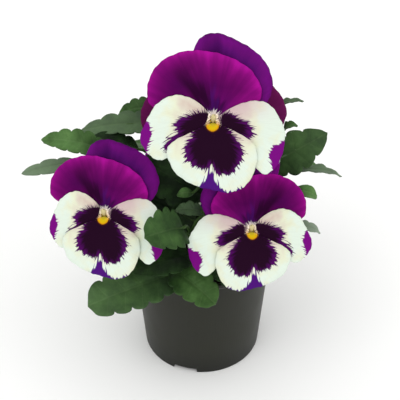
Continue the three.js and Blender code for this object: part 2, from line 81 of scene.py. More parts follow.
# %% One way to add a node
def set_inputs(tree, node, inputs):
    """Sets a node's inputs, or plugs in another node, the output of one or a named attribute."""
    for key, value in inputs.items():
        if isinstance(value, str):
            value = add_node(tree, "Attribute", attribute_name=value).outputs["Fac"]
        if isinstance(value, bpy.types.Node):
            value = value.outputs[0]
        if isinstance(value, bpy.types.NodeSocket):
            tree.links.new(value, node.inputs[key])
        else:
            node.inputs[key].default_value = value


def add_node(tree, kind, *inputs, **named):
    """A node with its inputs in order, and the inputs and properties that are given by name."""
    node = tree.nodes.new("ShaderNode" + kind)
    for key in [key for key in named if hasattr(node, key)]:
        setattr(node, key, named.pop(key))
    set_inputs(tree, node, {**dict(enumerate(inputs)), **named})
    return node


def set_ramp(node, stops):
    """Gives a colour ramp its stops, (place from 0 to 1, colour), in order. Returns its node."""
    elements = node.color_ramp.elements
    for element, (place, colour) in zip((elements[0], elements[1]), (stops[0], stops[-1])):
        element.position = place
        element.color = linear(colour)
    for place, colour in stops[1:-1]:
        elements.new(place).color = linear(colour)
    return node


def new_material(name):
    """An empty node material, its tree, and its shader already joined to the output."""
    material = bpy.data.materials.new(name)
    material.use_nodes = True
    tree = material.node_tree
    tree.nodes.clear()
    shader = add_node(tree, "BsdfPrincipled")
    add_node(tree, "OutputMaterial", shader)
    return material, tree, shader


SMOOTH = {"interpolation_type": "SMOOTHSTEP"}  # makes a Map Range node ease in and out


# %% One way to finish a mesh
def finish_mesh(name, bm, matrix, materials):
    """A mesh object at the origin, its place in its mesh, from a bmesh made in another frame."""
    bm.transform(matrix)
    if matrix.determinant() < 0:
        bmesh.ops.reverse_faces(bm, faces=bm.faces[:])
    mesh = bpy.data.meshes.new(name)
    bm.to_mesh(mesh)
    bm.free()
    for material in materials:
        mesh.materials.append(material)
    piece = bpy.data.objects.new(name, mesh)
    scene.collection.objects.link(piece)
    return piece


# %% [markdown]
# ## The camera, the light and the floor
#
# A catalogue shows a plant like this from above at about forty degrees, through a long lens, in a
# white tent. The long lens keeps the pot's sides nearly parallel. The light is a large soft panel over
# the front left, a weaker one on the right, and a white surrounding that fills every shadow.

# %% Camera
CAMERA_AT = Vector((0.0, -537.0, 549.0)) * MM
CAMERA_AIM = Vector((-1.3, 0.0, 115.8)) * MM
CAMERA_LENS = 99.6  # mm, on a sensor 36 mm wide


def point_at(name, data, place, aim):
    """Puts a camera or a lamp in the scene, turned to its aim."""
    thing = bpy.data.objects.new(name, data)
    thing.location = place
    thing.rotation_euler = (aim - thing.location).to_track_quat("-Z", "Y").to_euler()
    scene.collection.objects.link(thing)
    return thing


camera_data = bpy.data.cameras.new("catalogue_camera")
camera_data.lens = CAMERA_LENS
camera_data.sensor_width = 36.0
camera_data.clip_end = 20.0
scene.camera = point_at("catalogue_camera", camera_data, CAMERA_AT, CAMERA_AIM)
view = (CAMERA_AIM - CAMERA_AT).normalized()
print("camera looks down at", round(math.degrees(math.asin(-view.z)), 1), "degrees")

# %% Light
# Each panel: where it stands, its side in metres and its power in watts.
PANELS = {
    "key_panel": ((-1.3, -1.7, 3.0), 1.8, 23.0),
    "fill_panel": ((2.2, -1.2, 1.8), 1.6, 7.0),
}
LIGHT_AIM = Vector((0, 0, 0.12))

scene.view_settings.view_transform = "Standard"
scene.world = bpy.data.worlds.new("white_tent")
scene.world.use_nodes = True
tent = scene.world.node_tree
set_inputs(tent, tent.nodes["Background"], {"Color": (1.0, 1.0, 1.0, 1.0), "Strength": 1.0})
for name, (place, side, power) in PANELS.items():
    panel = bpy.data.lights.new(name, "AREA")
    panel.shape = "SQUARE"
    panel.size = side
    panel.energy = power
    point_at(name, panel, place, LIGHT_AIM)
print("panels:", ", ".join(PANELS))

# %% Floor
paper, tree, shader = new_material("white_background_paper")
set_inputs(tree, shader, {"Base Color": linear("#FAFAF9"), "Roughness": 0.9, "Specular IOR Level": 0.1})
bm = bmesh.new()
bmesh.ops.create_grid(bm, x_segments=1, y_segments=1, size=4.0)
studio_floor = finish_mesh("studio_floor", bm, Matrix(), [paper])
print("floor:", round(studio_floor.dimensions.x, 1), "m wide")

# %% [markdown]
# ## Where the blooms stand
#
# A pansy has five petals in four layers: two upper petals at the back, one over the other, two side
# petals over them, and the lip in front. All four blooms of this plant share one pattern, so it is
# written once, in a bloom's own frame: the throat at 0, 0, the bloom's top towards +Y and its face
# towards +Z. A matrix then carries it to its place. One bloom is the pattern's mirror image.

# %% The bloom's frame
# A bloom's fits are its petals that differ from the pattern: their breadth, height and turn in degrees.
BLOOMS = {
    "top": dict(at=(6, -30, 196), facing=(0, 32), turn=0, size=1.0, fits={}),
    "left": dict(
        at=(-57, -42, 138), facing=(-13, 32), turn=6, size=0.93,
        fits={"side_left": (0.87, 1, 0), "upper_left": (1, 0.92, -4), "upper_right": (1.06, 0.96, 3.5)},
    ),
    "right": dict(
        at=(29, -44, 128), facing=(9, 32), turn=-5, size=0.89, mirrored=True,
        fits={"side_right": (1.05, 1, 0), "upper_left": (1, 0.95, 0)},
    ),
    "rear": dict(
        at=(6.5, 12, 149.5), facing=(0, 32), turn=0, size=1.03,
        fits={"upper_left": (1.17, 1, 0), "upper_right": (1.29, 1, -3)},
    ),
}


def bloom_matrix(bloom):
    """The matrix from a bloom's own millimetres to the plant's metres."""
    azimuth, elevation = (math.radians(angle) for angle in bloom["facing"])
    out = Vector((math.sin(azimuth), -math.cos(azimuth), math.tan(elevation))).normalized()
    right = Vector((0, 0, 1)).cross(out).normalized()
    top = out.cross(right)
    basis = Matrix((right, top, out)).transposed().to_4x4()
    turned = Matrix.Rotation(math.radians(bloom["turn"]), 4, "Z")
    mirror = Matrix.Diagonal((-1 if bloom.get("mirrored") else 1, 1, 1, 1))
    return TO_METRES @ Matrix.Translation(bloom["at"]) @ basis @ turned @ mirror


for name, bloom in BLOOMS.items():
    print(name, "throat at", [round(c, 3) for c in bloom_matrix(bloom).translation])

# %% [markdown]
# ## The shape of a petal
#
# A petal is a thin sheet with a curved outline. It could be filled with one big face, but that can't
# bend. Instead a square grid is drawn out to a disc and the disc to the outline, so that the rows of
# faces follow the petal's edge and the sheet bends smoothly. The height over the throat's plane comes
# from one function, so neighbouring layers stay the same distance apart and never cross.

# %% Petal outlines
# A closed smooth curve through each list of points, anticlockwise, about the petal's own middle. Mm.
# The veins of a petal fan out from a place near the throat, about an axis that is an angle in degrees.
PETALS = {
    "upper_right": dict(layer=0, fan=((0, 0), 90), middle=(12, 26), outline=[
        (33.3, 19), (30.5, 31), (23, 39.5), (12, 45.8), (2, 49.2), (-7, 46.5), (-12, 36), (-11, 23),
        (-6, 11), (0.5, 3.8), (14, 3.4), (27, 7)]),
    "upper_left": dict(layer=1, fan=((0, 0), 90), middle=(-5, 20), outline=[
        (26.8, 14), (22.5, 27), (11, 35), (-3, 39), (-17, 38.8), (-29.5, 32.8), (-36, 22), (-35, 9.5),
        (-22, 3.6), (-8, 2.6), (0, 1.9), (14, 4.2)]),
    "side_left": dict(layer=2, fan=((-5, 0.5), 195), middle=(-21, -2), outline=[
        (-2.1, 1.5), (-4.6, 7.4), (-12, 13), (-21.5, 14.8), (-31, 10), (-37, 0.5), (-40.7, -9),
        (-37, -17), (-30.5, -21.3), (-23.5, -19), (-13, -12.5), (-5, -4.5)]),
    "side_right": dict(layer=2, fan=((5, 0.5), -15), middle=(21, -7), outline=[
        (40.3, -8), (37.5, 1), (31, 9.8), (22, 11.7), (12, 8.8), (4.6, 4), (2.1, -0.5), (5.5, -6),
        (13, -14), (21, -22), (29, -29.2), (37.3, -22)]),
    "lower": dict(layer=3, fan=((0, -7), 270), middle=(0, -20), outline=[
        (24.3, -23), (23, -12.6), (13.6, -5.9), (2.8, -1.3), (-2.8, -1.3), (-13, -6), (-23, -11.5),
        (-25.6, -18), (-20, -29), (-9, -35.8), (-1, -37.6), (9, -39.4), (18.5, -35)]),
}


def smooth_loop(points, share):
    """The place at a share, from 0 to 1, of the way round a closed Catmull-Rom curve."""
    count = len(points)
    run = (share % 1.0) * count
    k, t = int(run), run % 1.0
    p0, p1, p2, p3 = (Vector(points[(k + i - 1) % count]) for i in range(4))
    bend = (2 * p0 - 5 * p1 + 4 * p2 - p3) * t * t + (3 * p1 - p0 - 3 * p2 + p3) * t**3
    return p1 + 0.5 * ((p2 - p0) * t + bend)


print("petals drawn:", ", ".join(PETALS))


# %% Petal height
DOME = -0.0014  # how fast the corolla falls away from the throat, in mm for each square mm
THROAT_DIP = (-3.2, 6)  # its depth and its radius
FOLD_HEIGHT = 0.9
LAYER_GAPS = (1.25, 0.9)  # between two layers: at the throat, and what is added farther out


def smoothstep(value, low, high):
    """0 below low, 1 above high, and an easy curve between them."""
    share = min(1.0, max(0.0, (value - low) / (high - low)))
    return share * share * (3 - 2 * share)


def corolla_height(x, y):
    """How far the corolla stands forward of the throat: a dip, a dome and soft folds from the throat."""
    r, turn = math.hypot(x, y), math.atan2(y, x)
    dip = THROAT_DIP[0] * math.exp(-((r / THROAT_DIP[1]) ** 2))
    dome = DOME * r * r - (0.002 * y * y if y > 0 else 0)
    waves = math.cos(5 * turn - 1.2) + 0.5 * math.cos(8 * turn)
    return dip + dome + FOLD_HEIGHT * smoothstep(r, 6, 30) * waves


def petal_height(layer, x, y):
    """The height of a petal's layer: its gap to the next grows a little away from the throat."""
    gap = LAYER_GAPS[0] + LAYER_GAPS[1] * smoothstep(math.hypot(x, y), 5, 18)
    return corolla_height(x, y) + layer * gap


print("lip stands", round(petal_height(3, 0, -20), 2), "mm forward 20 mm below the throat")

# %% [markdown]
# ## Where the markings lie
#
# The dark blotches, the purple tips and the yellow eye have clear outlines with feathered edges. The
# outlines are curves, like the petals'. For every point of a petal we store how deep it lies inside
# each marking, in millimetres, and the material feathers that edge with streaks along the veins.

# %% Marking outlines
MARKINGS = {
    "blotch": {
        "side_left": [
            (-3.1, 5.2), (-5.7, 5.6), (-9.5, 5), (-13, 3.9), (-16.5, 2.1), (-19.4, 0.9), (-20.6, -1.2),
            (-20.4, -4), (-20, -6.2), (-22.6, -8.6), (-25.6, -10.6), (-27.4, -12.8), (-27, -15.6),
            (-20, -13.5), (-12, -10), (-5, -6.5), (-4.6, -2.2), (-3.3, -0.4), (-2.6, 2.3)],
        "side_right": [
            (4.1, 0.6), (4.6, 3.2), (6.3, 5), (8.6, 5), (11.3, 3.9), (14.6, 2), (18.2, 0.5),
            (20.8, -1.9), (21.8, -4.2), (22, -6.8), (21.2, -8.6), (17, -9.5), (12, -8.5), (6.3, -7),
            (4.6, -3)],
        "lower": [
            (-3, -1), (-8, -2.6), (-11.2, -5), (-11.6, -8), (-13.8, -10.4), (-15.5, -13.6),
            (-15.5, -17.1), (-14.2, -20.5), (-11.6, -23), (-8.2, -25.4), (-5, -26.2), (-2.4, -25),
            (-0.9, -23.6), (0.8, -26), (3, -28.2), (6.7, -29.2), (10, -28.8), (12.5, -26), (15, -22.7),
            (16.3, -18.9), (16.5, -15.2), (15.2, -12.4), (13.2, -9.4), (10.6, -6), (8, -3), (4, -1)],
    },
    "tip": {
        "side_left": [
            (-37.2, -0.6), (-35, -3.4), (-34.8, -7.7), (-35, -10.5), (-36.4, -13.5), (-37.6, -17),
            (-46, -18), (-46, 0)],
        "side_right": [
            (41, -9.6), (37, -12), (32.6, -15.6), (31, -19), (32.2, -22), (34.8, -26.5), (40, -31),
            (48, -22), (47, -9)],
        "lower": [
            (-1.2, -27), (0.4, -30), (1.6, -33), (4.4, -36.5), (6.2, -38.5), (9, -39.3), (12.5, -38.5),
            (15.5, -37.2), (17, -42), (-9, -42), (-7.6, -36), (-4.6, -32.6), (-2.6, -30)],
    },
    "eye": {
        "lower": [
            (0, 0.5), (-3, -0.4), (-4, -2.2), (-3, -4.3), (-0.3, -5.6), (2.5, -4.4), (3.6, -2.2),
            (2.8, -0.4)],
    },
}
OUTSIDE = -50.0  # mm, for a petal that lacks the marking


def depth_inside(places, outline):
    """How deep each place lies inside an outline: its distance from the edge, negative outside."""
    if outline is None:
        return np.full(len(places), OUTSIDE)
    steps = 8 * len(outline)
    edge = np.array([smooth_loop(outline, k / steps)[:] for k in range(steps)])
    after = np.roll(edge, -1, axis=0)
    along = after - edge
    reach = places[:, None, :] - edge[None]
    share = np.clip((reach * along).sum(2) / (along * along).sum(1), 0, 1)
    distance = np.linalg.norm(reach - share[..., None] * along, axis=2).min(1)
    y = places[:, 1, None]
    spans = (edge[:, 1] > y) != (after[:, 1] > y)
    rise = np.where(along[:, 1] == 0, 1e-9, along[:, 1])
    crossing = edge[:, 0] + (y - edge[:, 1]) / rise * along[:, 0]
    inside = (spans & (places[:, 0, None] < crossing)).sum(1) % 2 == 1
    return np.where(inside, distance, -distance)


middle_depth = depth_inside(np.array([[0, -15.0]]), MARKINGS["blotch"]["lower"])[0]
print("the lip's middle lies", round(float(middle_depth), 1), "mm inside its blotch")

# %% [markdown]
# ## A fine petal
#
# The grid comes from the grid operator and each of its points is moved to the petal's surface. A real
# petal is a few tenths of a millimetre thick, slightly frilled, and its edge rolls back a little. The
# sheet gets its thickness from the solidify operator. For its material it carries a map of its place on
# the bloom's face and one of its place in its fan of veins, its depth inside each marking and inside
# its own rim, and which of its sides is underneath.

# %% A point of a petal
PETAL_CELLS = 60
PETAL_THICKNESS = 0.45
FACE_SPAN = 120.0  # mm of the bloom's face that a map's unit square covers
RIM_WANDER = 0.13  # mm, how far the edge wanders in and out
ROLLED_BACK = 0.7  # mm, how far the edge rolls back
AS_DRAWN = (1, 1, 0)


def fit_matrix(breadth, height, turn):
    """Stretches a petal about the throat, then turns it."""
    return Matrix.Rotation(math.radians(turn), 2) @ Matrix(((breadth, 0), (0, height)))


def petal_point(petal, fit, x, y):
    """The place on the petal, in the bloom's mm, of a point x, y of the square grid."""
    dx, dy = x * math.sqrt(1 - y * y / 2), y * math.sqrt(1 - x * x / 2)
    share = min(1.0, math.hypot(dx, dy))
    middle = fit @ Vector(petal["middle"])
    first = fit @ Vector(petal["outline"][0]) - middle
    turn = (math.atan2(dy, dx) - math.atan2(first.y, first.x)) / (2 * math.pi)
    rim = fit @ smooth_loop(petal["outline"], turn)
    outwards = (rim - middle).normalized()
    phase = petal["layer"] * 2.1 + petal["middle"][0]
    wander = math.sin(17 * 2 * math.pi * turn + phase) + 0.7 * math.sin(31 * 2 * math.pi * turn - phase)
    rim += outwards * RIM_WANDER * wander * smoothstep(rim.length, 10, 25)
    place = middle.lerp(rim, share)
    r, angle = place.length, math.atan2(place.y, place.x)
    frill = 0.3 * math.sin(11 * angle + phase) + 0.2 * math.sin(19 * angle - phase)
    edge = smoothstep(share, 0.55, 1.0) * smoothstep(r, 12, 26)
    rolled = ROLLED_BACK * smoothstep(share, 0.88, 1.0) ** 2
    return Vector((*place, petal_height(petal["layer"], *place) + frill * edge - rolled))


corner = petal_point(PETALS["lower"], fit_matrix(*AS_DRAWN), 1, 0)
print("the lip's outline starts at", [round(c, 1) for c in corner])


# %% Petal meshes
def petal_bmesh(name, petal, fit):
    """A petal of a full-sized bloom in its own frame, with all that its material reads."""
    bm = bmesh.new()
    bmesh.ops.create_grid(bm, x_segments=PETAL_CELLS, y_segments=PETAL_CELLS, size=1.0)
    for vert in bm.verts:
        vert.co = petal_point(petal, fit, vert.co.x, vert.co.y)
    bmesh.ops.recalc_face_normals(bm, faces=bm.faces)
    bmesh.ops.solidify(bm, geom=bm.faces[:], thickness=PETAL_THICKNESS)
    undo = fit.inverted()
    drawn = np.array([(undo @ vert.co.xy)[:] for vert in bm.verts])
    for attribute, outlines in {**MARKINGS, "rim": {name: petal["outline"]}}.items():
        layer = bm.verts.layers.float.new(attribute)
        for vert, depth in zip(bm.verts, depth_inside(drawn, outlines.get(name))):
            vert[layer] = depth
    bm.normal_update()
    under = bm.verts.layers.float.new("under")
    for vert in bm.verts:
        vert[under] = float(vert.normal.z < 0)
    fan_at, axis = petal["fan"]
    spin = Matrix.Rotation(math.radians(270 - axis), 2)
    face_map, fan_map = (bm.loops.layers.uv.new(layer) for layer in ("face", "fan"))
    centre = Vector((0.5, 0.5))
    for face in bm.faces:
        face.smooth = True
        for loop in face.loops:
            place = Vector(drawn[loop.vert.index])
            loop[face_map].uv = centre + place / FACE_SPAN
            loop[fan_map].uv = centre + spin @ (place - Vector(fan_at)) / FACE_SPAN
    return bm


test = petal_bmesh("lower", PETALS["lower"], fit_matrix(*AS_DRAWN))
print("a petal has", len(test.faces), "faces; volume", round(test.calc_volume(), 1), "cubic mm")
test.free()

# %% [markdown]
# ## What a petal looks like
#
# A pansy petal is covered in tiny cones that make it look like velvet: almost no shine, and a faint
# glow at a glancing angle. Its colour sits in the skin, streaked along the veins, which fan out from
# near the throat. So the materials work in polar coordinates about the fan's centre. Noise that changes
# fast round it and slowly along the vein makes the streaks. Where the noise crosses its middle value we
# raise a tent, and a tent added to the depth inside a marking draws one pointed tooth along a vein.


# %% Coordinates and streaks about the throat
TEETH_PER_RADIAN = 13.0  # about 1.5 mm from tooth to tooth at the edge of a blotch
VEINS_PER_RADIAN = 60.0  # fine veins, about 0.5 mm apart on the lip


def polar(tree, map_name):
    """The millimetres from the middle of a map, and the angle from its straight down."""
    face = add_node(tree, "UVMap", uv_map=map_name)
    centred = add_node(tree, "VectorMath", face, (0.5, 0.5, 0.0), operation="SUBTRACT")
    size = add_node(tree, "VectorMath", centred, operation="SCALE", Scale=FACE_SPAN)
    reach = add_node(tree, "VectorMath", size, operation="LENGTH").outputs["Value"]
    parts = add_node(tree, "SeparateXYZ", size)
    down = add_node(tree, "Math", parts.outputs["Y"], -1.0, operation="MULTIPLY")
    return reach, add_node(tree, "Math", parts.outputs["X"], down, operation="ARCTAN2")


def radial_noise(tree, fan, per_radian, per_mm, seed, detail=2.0):
    """Noise in streaks that run out from a fan's centre, from 0 to 1 and mostly near a half."""
    reach, angle = fan
    turned = add_node(tree, "Math", angle, per_radian, operation="MULTIPLY")
    run = add_node(tree, "Math", reach, per_mm, operation="MULTIPLY")
    where = add_node(tree, "CombineXYZ", turned, run, seed)
    return add_node(tree, "TexNoise", where, Scale=1.0, Detail=detail, Roughness=0.6)


# %% Teeth on the edge of a marking
def tent(tree, value, middle, near, far, **settings):
    """1 where a value is less than near from the middle, and 0 where it is more than far from it."""
    off = add_node(tree, "Math", value, middle, operation="SUBTRACT")
    away = add_node(tree, "Math", off, operation="ABSOLUTE")
    return add_node(tree, "MapRange", away, near, far, 1.0, 0.0, **settings)


def pointed_teeth(tree, fan, per_radian, seed):
    """0 between the teeth and up to 1 on them: tents on the lines where a streaky noise is a half."""
    streaks = radial_noise(tree, fan, per_radian, 0.06, seed, detail=1.0)
    tooth = tent(tree, streaks, 0.5, 0.0, 0.1)
    lengths = radial_noise(tree, fan, per_radian * 1.7, 0.03, seed + 5.0, detail=0.0)
    length = add_node(tree, "MapRange", lengths, 0.3, 0.7, 0.35, 1.0)
    return add_node(tree, "Math", tooth, length, operation="MULTIPLY")


def toothed_mask(tree, attribute, teeth, tooth_length, softness=0.22):
    """1 inside a marking and 0 outside it, with teeth of up to tooth_length mm on its edge."""
    push = add_node(tree, "Math", teeth, tooth_length, -0.18 * tooth_length, operation="MULTIPLY_ADD")
    pushed = add_node(tree, "Math", attribute, push, operation="ADD")
    return add_node(tree, "MapRange", pushed, -softness, softness)


# %% Velvet
def make_velvet(tree, shader, colour, pale, share, veins, glow):
    """The skin of a petal: on the underside its colour shows through a paler skin; the veins stand out
    as fine bump, there is hardly any shine, and it glows faintly at a glancing angle."""
    weight = add_node(tree, "Math", "under", share, operation="MULTIPLY")
    both_sides = add_node(tree, "MixRGB", weight, colour, linear(pale))
    bump = add_node(tree, "Bump", Strength=0.5, Distance=0.12 * MM, Height=veins)
    set_inputs(tree, shader, {
        "Base Color": both_sides, "Normal": bump, "Roughness": 0.7, "IOR": 1.4, "Specular IOR Level": 0.015,
        "Sheen Weight": 0.01, "Sheen Roughness": 0.5, "Sheen Tint": linear(glow),
    })


# %% [markdown]
# ## The white petals
#
# The lip and the side petals are milky white: warm near the throat, where the colour beneath shows
# through, cool greenish white at the rims, and flushed with pink where they meet the upper petals. On
# that lie the near-black blotch with its violet fringe, the purple tips and, on the lip, the yellow
# honey guide. Each is laid over the last with a mask.


# %% White petal: the ground
def milky_ground(tree, face, veins):
    """The white, warm in the middle and cool at the rim, with its pink flush and its faint veins."""
    reach, angle = face
    outward = add_node(tree, "MapRange", reach, 10.0, 31.0)
    clouds = radial_noise(tree, face, 2.2, 0.09, 21.0)
    drift = add_node(tree, "Math", clouds, 1.6, -0.8, operation="MULTIPLY_ADD")
    tint = add_node(tree, "Math", outward, drift, operation="ADD", use_clamp=True)
    whites = ((0.0, "#CBB9AC"), (0.35, "#D4CBBB"), (0.7, "#DCE0C6"), (1.0, "#D9E5D8"))
    ramp = set_ramp(add_node(tree, "ValToRGB", tint), whites)
    high = add_node(tree, "MapRange", angle, 1.4, 2.1, 0.0, 0.72, **SMOOTH)
    close = add_node(tree, "MapRange", reach, 20.0, 40.0, 1.0, 0.2, **SMOOTH)
    flush = add_node(tree, "Math", high, close, operation="MULTIPLY")
    flushed = add_node(tree, "MixRGB", flush, ramp, linear("#C6ABB0"))
    vein_share = add_node(tree, "MapRange", veins, 0.5, 0.8, 0.0, 0.16)
    return add_node(tree, "MixRGB", vein_share, flushed, linear("#A9A48E"))


# %% White petal: the blotch
def blotch_colour(tree, face, fan, teeth, side):
    """Violet at the feathered edge and near black inside; thinner far out on a side petal."""
    inward = add_node(tree, "Math", teeth, -1.5, "blotch", operation="MULTIPLY_ADD")
    rays = radial_noise(tree, fan, 11.0, 0.05, 33.0, detail=3.0)
    streaky = add_node(tree, "Math", rays, 11.0, -5.5, operation="MULTIPLY_ADD")
    ragged = add_node(tree, "Math", inward, streaky, operation="ADD")
    farther = add_node(tree, "MapRange", face[0], 8.0, 23.0, -2.0, 3.0)
    thin = add_node(tree, "Math", side, farther, operation="MULTIPLY")
    deep = add_node(tree, "Math", ragged, thin, operation="SUBTRACT")
    dark = add_node(tree, "MapRange", deep, -1.8, 2.4)
    return add_node(tree, "MixRGB", dark, linear("#4C0D58"), linear("#220A1F"))


# %% White petal: the eye
def eye_colour(tree, reach):
    """Brown at the edge and yellow inside, with an olive mouth."""
    inside = add_node(tree, "MapRange", "eye", -0.8, 1.6)
    yellows = ((0.0, "#280F10"), (0.35, "#5E2806"), (0.5, "#D08C10"), (0.75, "#D6A810"), (1.0, "#D2B214"))
    glow = set_ramp(add_node(tree, "ValToRGB", inside), yellows)
    mouth = add_node(tree, "MapRange", reach, 0.8, 3.0, 1.0, 0.0)
    return add_node(tree, "MixRGB", mouth, glow, linear("#B0A436"))


# %% White petal: the whole
def white_petal_material():
    material, tree, shader = new_material("milky_white_pansy_petal")
    face, fan = polar(tree, "face"), polar(tree, "fan")
    reach, angle = face
    teeth = pointed_teeth(tree, fan, TEETH_PER_RADIAN, 3.7)
    small_teeth = pointed_teeth(tree, fan, TEETH_PER_RADIAN * 2.3, 14.2)
    both = add_node(tree, "Math", small_teeth, 0.45, teeth, operation="MULTIPLY_ADD")
    veins = radial_noise(tree, fan, VEINS_PER_RADIAN, 0.08, 8.1)
    sideways = add_node(tree, "Math", angle, operation="ABSOLUTE")
    side = add_node(tree, "MapRange", sideways, 0.35, 0.8)

    colour = milky_ground(tree, face, veins)
    blotch = blotch_colour(tree, face, fan, teeth, side)
    tip = add_node(tree, "MixRGB", side, linear("#4A1672"), linear("#730F78"))
    for mask, marking in (
        (toothed_mask(tree, "blotch", both, 3.0), blotch),
        (toothed_mask(tree, "tip", both, 2.2), tip),
        (toothed_mask(tree, "eye", small_teeth, 0.9, softness=0.5), eye_colour(tree, reach)),
    ):
        colour = add_node(tree, "MixRGB", mask, colour, marking)
    make_velvet(tree, shader, colour, "#C2C8AE", 0.6, veins, "#F4F0FF")
    return material


PETAL_FINISHES = {"white": white_petal_material()}
print("nodes in the white petal:", len(PETAL_FINISHES["white"].node_tree.nodes))

# %% [markdown]
# ## The purple petals
#
# The two upper petals have no blotch. They are brightest along the rim and darken inwards; on the
# magenta the brightest millimetres at the rim are partly a painted highlight, and the left side of
# each petal is darkened with painted shade. A few soft dark bands run up from the throat, painted
# shade where the petal creases, and the petals end at the throat in white streaks. The front one is
# magenta and the one behind it violet, from the same pigment on a thinner or a thicker petal. Because
# the rim is what counts, the ramp is read from the depth inside the petal's own edge, in millimetres.


# %% Purple petal: painted shade in the creases
# A fold's painted shade: how far left of the throat it starts, where it runs to, its half width and the
# height at which it ends, in mm; how strong it is, and its shade colour.
PAINTED_FOLD_SHADES = {
    "front": (
        (2.0, 16.0, 9.0, 42, 0.96, "#260524"),
        (1.0, 5.6, 2.6, 46, 0.35, "#4A0648"),
        (0.0, -1.0, 2.8, 24, 0.45, "#46126A"),
    ),
    "back": ((1.0, 1.5, 8.0, 70, 0.8, "#2C0638"), (-9.0, -17.0, 5.0, 60, 0.35, "#3A0A50")),
}


def paint_fold_shade(tree, fan, wander, colour, fold_shades):
    """Lays the painted shade of each fold, a dark band, over a colour."""
    reach, angle = fan
    sine, cosine = (add_node(tree, "Math", angle, operation=kind) for kind in ("SINE", "COSINE"))
    left = add_node(tree, "Math", reach, sine, wander, operation="MULTIPLY_ADD")
    up = add_node(tree, "Math", reach, cosine, operation="MULTIPLY")
    for start, run_to, half_width, end, strength, dark in fold_shades:
        middle = add_node(tree, "MapRange", up, 8.0, 28.0, start, run_to, **SMOOTH)
        line = tent(tree, left, middle, 0.15 * half_width, 1.1 * half_width, **SMOOTH)
        low = add_node(tree, "MapRange", up, 14.0, end, strength, 0.0, **SMOOTH)
        weight = add_node(tree, "Math", line, low, operation="MULTIPLY")
        colour = add_node(tree, "MixRGB", weight, colour, linear(dark))
    return colour


# %% Purple petal: the whole
def purple_petal_material(name, stops, fold_shades, heart):
    """stops are (mm in from the rim, colour); heart is the colour near the throat."""
    material, tree, shader = new_material(name)
    fan = polar(tree, "fan")
    reach, angle = fan
    veins = radial_noise(tree, fan, VEINS_PER_RADIAN, 0.05, 5.3)
    clouds = radial_noise(tree, fan, 2.6, 0.06, 12.9)
    pleats = radial_noise(tree, fan, 9.0, 0.02, 41.0, detail=1.0)
    drift = add_node(tree, "Math", clouds, 9.0, -8.0, operation="MULTIPLY_ADD")
    wander = add_node(tree, "Math", pleats, 7.0, drift, operation="MULTIPLY_ADD")
    # The left side of each petal reads as lying farther in from the rim, so it is darker: painted shade.
    painted_left_shade = add_node(tree, "MapRange", angle, 0.2, 0.95, 0.0, 3.4, **SMOOTH)
    far_in = add_node(tree, "Math", "rim", painted_left_shade, operation="ADD")
    depth = add_node(tree, "Math", far_in, wander, operation="ADD")
    span = stops[-1][0]
    share = add_node(tree, "Math", depth, span, operation="DIVIDE")
    ramp = set_ramp(add_node(tree, "ValToRGB", share), [(place / span, colour) for place, colour in stops])
    near = add_node(tree, "MapRange", reach, 5.0, 21.0, 0.8, 0.0, **SMOOTH)
    body = add_node(tree, "MixRGB", near, ramp, linear(heart))
    folded = paint_fold_shade(tree, fan, wander, body, fold_shades)
    vein_share = add_node(tree, "MapRange", veins, 0.5, 0.8, 0.0, 0.2)
    veined = add_node(tree, "MixRGB", vein_share, folded, linear(heart))
    streaks = pointed_teeth(tree, fan, 7.0, 2.2)
    edge = add_node(tree, "Math", streaks, -3.2, reach, operation="MULTIPLY_ADD")
    pale = add_node(tree, "MapRange", edge, 4.2, 5.4, 1.0, 0.0)
    throat = add_node(tree, "MixRGB", pale, veined, linear("#E6DEDA"))
    make_velvet(tree, shader, throat, "#6A3A78", 0.4, veins, "#E7B8F0")
    return material


# The magenta's own colour darkens inwards from the rim; the brightest stops, in the first two millimetres of
# the rim, are partly a painted highlight.
MAGENTA_STOPS = (
    (0, "#A4128D"), (2, "#940F7F"), (4, "#820D71"), (7, "#710A64"), (11, "#600857"), (17, "#50064D"),
    (24, "#400742"), (32, "#300633"),
)
VIOLET_STOPS = (
    (0, "#600E68"), (2, "#690F72"), (5, "#620F6A"), (8, "#550E64"), (12, "#460A56"), (20, "#36083C"),
    (32, "#2B062C"),
)
# The rear bloom stands behind and below the top one, in its shade; all its purple petals take this darker,
# redder copy of the magenta: painted shade.
PAINTED_SHADE_MAGENTA_STOPS = ((0, "#64184E"), (3, "#5C1448"), (10, "#4E0E3C"), (20, "#3A0A30"), (32, "#2B0622"))
for finish, *recipe in (
    ("magenta", "magenta_pansy_petal", MAGENTA_STOPS, PAINTED_FOLD_SHADES["front"], "#3E0850"),
    ("violet", "violet_pansy_petal", VIOLET_STOPS, PAINTED_FOLD_SHADES["back"], "#2C0640"),
    ("faded", "older_magenta_pansy_petal", PAINTED_SHADE_MAGENTA_STOPS, PAINTED_FOLD_SHADES["front"], "#2C0624"),
):
    PETAL_FINISHES[finish] = purple_petal_material(*recipe)
print("petal finishes:", ", ".join(PETAL_FINISHES))

# %% [markdown]
# ## Putting the petals in place
#
# Each petal is made in the bloom's own millimetres, carried to its place by the bloom's matrix, and
# turned the right way out where that matrix mirrors it. The lip also has a spur behind it, a narrow
# hollow horn that holds the nectar, and the side petals have beards: tufts of glassy white hairs that
# guard the throat.


# %% Tubes
def add_mesh(bm, mesh):
    """Adds a mesh to a bmesh. Returns its faces there."""
    before = set(bm.faces)
    bm.from_mesh(mesh)
    return [face for face in bm.faces if face not in before]


